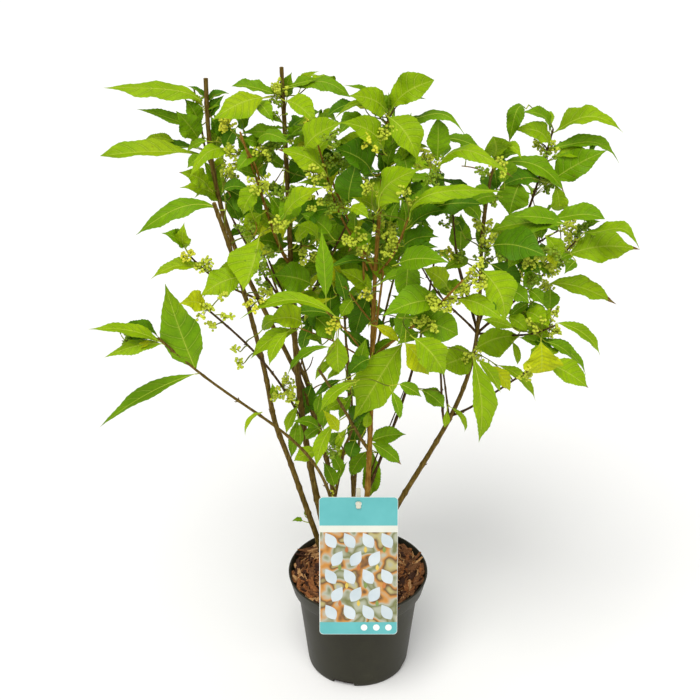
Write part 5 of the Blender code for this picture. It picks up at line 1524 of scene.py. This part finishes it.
def plate(name, height, thick, material, x0, y0, x1, y1, corners, hole=False):
    """A flat field of the tag; with hole, the slot is left open."""
    bm = bmesh.new()
    rings = [round_rect(x0, y0, x1, y1, TAG_CORNER, corners=corners)]
    if hole:
        rings.append(slot_outline())
    edges = []
    for ring in rings:
        vs = [bm.verts.new(Vector(p) * MM) for p in on_tag(ring, height)]
        edges += [bm.edges.new((a, b)) for a, b in zip(vs, vs[1:] + vs[:1])]
    bmesh.ops.triangle_fill(bm, use_beauty=True, use_dissolve=False, edges=edges)
    face_way = Vector(TAG_TURN @ np.array((0, 0, 1.0)))
    for f in bm.faces:
        if f.normal.dot(face_way) < 0:
            f.normal_flip()
    if thick:
        made = bmesh.ops.extrude_face_region(bm, geom=bm.faces[:])
        bmesh.ops.translate(bm, vec=face_way * (-thick * MM), verts=[v for v in made["geom"] if isinstance(v, bmesh.types.BMVert)])
        bmesh.ops.recalc_face_normals(bm, faces=bm.faces)
    me = bpy.data.meshes.new(name)
    bm.to_mesh(me)
    bm.free()
    me.materials.append(material)
    obj = bpy.data.objects.new(name, me)
    bpy.context.scene.collection.objects.link(obj)
    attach(obj, "root")
    return obj


half = TAG_THICK / 2.0
body = plate("tag_body", half, TAG_THICK, white, X0, 0.0, X1, TAG_H, (True,) * 4, hole=True)
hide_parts("care_tag")
TOP_BAND = TAG_H - 38.5
STRIP = TOP_BAND - 9.0
PICTURE = 17.0
plate("tag_top_band", half + 0.06, 0.0, teal, X0 + 0.4, TOP_BAND, X1 - 0.4, TAG_H - 0.4, (True, True, False, False), hole=True)
plate("tag_strip", half + 0.06, 0.0, ivory, X0 + 0.4, STRIP, X1 - 0.4, TOP_BAND, (False,) * 4)
plate("tag_foot_band", half + 0.06, 0.0, teal, X0 + 0.4, 0.4, X1 - 0.4, PICTURE, (False, False, True, True))


def disc(cx, cy, rad, steps=28):
    return [(cx + rad * math.cos(2 * math.pi * i / steps), cy + rad * math.sin(2 * math.pi * i / steps)) for i in range(steps)]


flat_piece("tag_discs", [disc(7.5, 9.5, 4.3), disc(23.5, 9.5, 4.3), disc(39.5, 9.5, 4.3)], half + 0.12, white)


def picture_material():
    """Soft blurred autumn colours behind the pattern."""
    mat, nt, shader = new_material("tag_autumn")
    at = object_coords(nt)
    blur = noise_node(nt, 46.0, 1.5, 0.4, at)
    colour = ramp(
        nt,
        blur.outputs["Fac"],
        [(0.28, (0.40, 0.42, 0.32)), (0.39, (0.16, 0.17, 0.05)), (0.46, (0.42, 0.43, 0.34)), (0.53, (0.55, 0.24, 0.04)), (0.59, (0.13, 0.06, 0.02)), (0.66, (0.46, 0.40, 0.16)), (0.75, (0.36, 0.40, 0.40))],
    )
    nt.links.new(colour.outputs[0], shader.inputs["Base Color"])
    shader.inputs["Roughness"].default_value = 0.3
    shader.inputs["Specular IOR Level"].default_value = 0.5
    return mat


plate("tag_picture", half + 0.06, 0.0, picture_material(), X0 + 1.2, PICTURE, X1 - 0.4, STRIP, (False,) * 4)
plate("tag_edge", half + 0.06, 0.0, ivory, X0 + 0.4, PICTURE, X0 + 1.2, STRIP, (False,) * 4)


def leaf_motif(cx, cy, size, turn, slim=0.36):
    pts = []
    for i in range(24):
        t = i / 24.0
        if t < 0.5:
            s, sign = t * 2, 1
        else:
            s, sign = (1 - t) * 2, -1
        w = math.sin(math.pi * s**0.85) * slim * size / 2 * sign
        x, y = (s - 0.5) * size, w
        pts.append((cx + x * math.cos(turn) - y * math.sin(turn), cy + x * math.sin(turn) + y * math.cos(turn)))
    return pts


# level rows of leaf shapes: large pale blue ones, and small rust and green ones between them
r = random.Random(5)
sets = {"sky": [], "rust": [], "moss": [], "sand": []}
for row in range(5):
    y = PICTURE + 14.0 + row * 24.6
    for col in range(4):
        x = X0 + 14.5 + col * 24.4 + (9.0 if row % 2 else 0.0)
        if x < X1 - 12.0:
            sets["sky"].append(leaf_motif(x, y, 24.0, math.radians(58 if row % 2 else 122), 0.62))
        if x + 12.2 < X1 - 4.0 and row < 4:
            sets[("rust", "sand", "moss")[(row + col) % 3]].append(leaf_motif(x + 12.2, y + 12.3, 9.0, math.radians(90), 0.5))
tints = {
    "sky": tag_material("tag_motif_sky", (0.50, 0.58, 0.62), (0.64, 0.70, 0.73)),
    "rust": tag_material("tag_motif_rust", (0.42, 0.13, 0.03), (0.56, 0.20, 0.05)),
    "moss": tag_material("tag_motif_moss", (0.16, 0.24, 0.05), (0.24, 0.33, 0.08)),
    "sand": tag_material("tag_motif_sand", (0.62, 0.44, 0.06), (0.70, 0.52, 0.10)),
}
for key, shapes in sets.items():
    flat_piece("tag_motif_" + key, shapes, half + 0.12, tints[key])

# =============================================================================
# The peg that holds the tag
# =============================================================================
peg_material, nt, shader = new_material("peg_white")
cloud = noise_node(nt, 60.0, 3.0, 0.5, object_coords(nt))
colour = ramp(nt, cloud.outputs["Fac"], [(0.3, (0.56, 0.55, 0.44)), (0.7, (0.64, 0.63, 0.52))])
nt.links.new(colour.outputs[0], shader.inputs["Base Color"])
shader.inputs["Roughness"].default_value = 0.36
shader.inputs["Subsurface Weight"].default_value = 0.15
shader.inputs["Subsurface Radius"].default_value = (0.004, 0.004, 0.003)

foot = np.array((0.0, -82.0, 139.0))
top = np.array((0.0, -44.2, 312.0))
along_peg = unit(top - foot)
peg = Bag("tag_peg")


def slab(store, centre, axes, sizes, bevel=0.5):
    """A box with bevelled edges, from a bmesh cube."""
    bm = bmesh.new()
    bmesh.ops.create_cube(bm, size=1.0)
    bmesh.ops.scale(bm, vec=sizes, verts=bm.verts)
    bmesh.ops.bevel(bm, geom=bm.edges[:], offset=bevel, segments=2, affect="EDGES")
    bm.verts.ensure_lookup_table()
    v = np.array([x.co[:] for x in bm.verts]) @ np.array(axes) + centre
    for f in bm.faces:
        ids = [x.index for x in f.verts]
        for k in range(1, len(ids) - 1):
            faces.append((ids[0] + store_base[0], ids[k] + store_base[0], ids[k + 1] + store_base[0]))
    points_out.extend(v.tolist())
    store_base[0] += len(v)
    bm.free()


faces, points_out, store_base = [], [], [0]
axes = [(1, 0, 0), tuple(np.cross(along_peg, (1, 0, 0))), tuple(along_peg)]
slab(peg, (foot + top) / 2, axes, (6.0, 1.6, np.linalg.norm(top - foot)))
slab(peg, (foot + top) / 2 - np.array((0, 1.1, 0)), axes, (1.6, 1.4, np.linalg.norm(top - foot) - 10.0), 0.3)
slot_at = TAG_FOOT + TAG_TURN @ np.array((0.0, slot_y, 0.0))
slab(peg, slot_at, [tuple(TAG_TURN[:, 0]), tuple(TAG_TURN[:, 1]), tuple(TAG_TURN[:, 2])], (6.0, 3.4, 6.8), 1.2)
knob = slot_at + TAG_TURN @ np.array((0.0, -1.2, 2.4))
slab(peg, knob, [tuple(TAG_TURN[:, 0]), tuple(TAG_TURN[:, 1]), tuple(TAG_TURN[:, 2])], (6.6, 9.6, 2.2), 1.0)
peg.add(np.array(points_out), np.array(faces))
peg_obj = peg.make(peg_material)
peg_obj.data.set_sharp_from_angle(angle=math.radians(50.0))
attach(peg_obj, "root")
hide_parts("tag_stake")

# =============================================================================
# Floor, light and camera
# =============================================================================
floor_mat, nt, shader = new_material("floor_pale")
shader.inputs["Base Color"].default_value = (0.95, 0.95, 0.95, 1.0)
shader.inputs["Roughness"].default_value = 0.7
shader.inputs["Specular IOR Level"].default_value = 0.2
me = bpy.data.meshes.new("floor")
me.from_pydata([(-14, -8, 0), (14, -8, 0), (14, 20, 0), (-14, 20, 0)], [], [(0, 1, 2, 3)])
me.materials.append(floor_mat)
floor = bpy.data.objects.new("floor", me)
bpy.context.scene.collection.objects.link(floor)

world = bpy.data.worlds.new("studio")
world.use_nodes = True
world.node_tree.nodes["Background"].inputs["Color"].default_value = (1.0, 1.0, 0.99, 1.0)
world.node_tree.nodes["Background"].inputs["Strength"].default_value = 0.52
bpy.context.scene.world = world


def sun(name, strength, angle, azimuth, elevation, colour=(1, 1, 1)):
    data = bpy.data.lights.new(name, "SUN")
    data.energy = strength
    data.angle = math.radians(angle)
    data.color = colour
    obj = bpy.data.objects.new(name, data)
    bpy.context.scene.collection.objects.link(obj)
    a, e = math.radians(azimuth), math.radians(elevation)
    way = Vector((math.cos(a) * math.cos(e), math.sin(a) * math.cos(e), math.sin(e)))
    obj.rotation_euler = way.to_track_quat("Z", "Y").to_euler()
    return obj


sun("key", 2.1, 36.0, -112.0, 62.0, (1.0, 0.985, 0.95))
sun("fill", 0.45, 50.0, -60.0, 25.0)

camera = bpy.data.cameras.new("camera")
camera.sensor_width = 36.0
camera.lens = FOCAL * 36.0 / 700.0
cam_obj = bpy.data.objects.new("camera", camera)
bpy.context.scene.collection.objects.link(cam_obj)
m = Matrix((tuple(RIGHT), tuple(UP), tuple(-AHEAD))).transposed().to_4x4()
m.translation = Vector(EYE) * MM
cam_obj.matrix_world = m
bpy.context.scene.camera = cam_obj
bpy.context.scene.view_settings.view_transform = "Standard"

print("leaves that show", len(SEEN), "grown", count_grown, "shoots", len(SHOOTS))
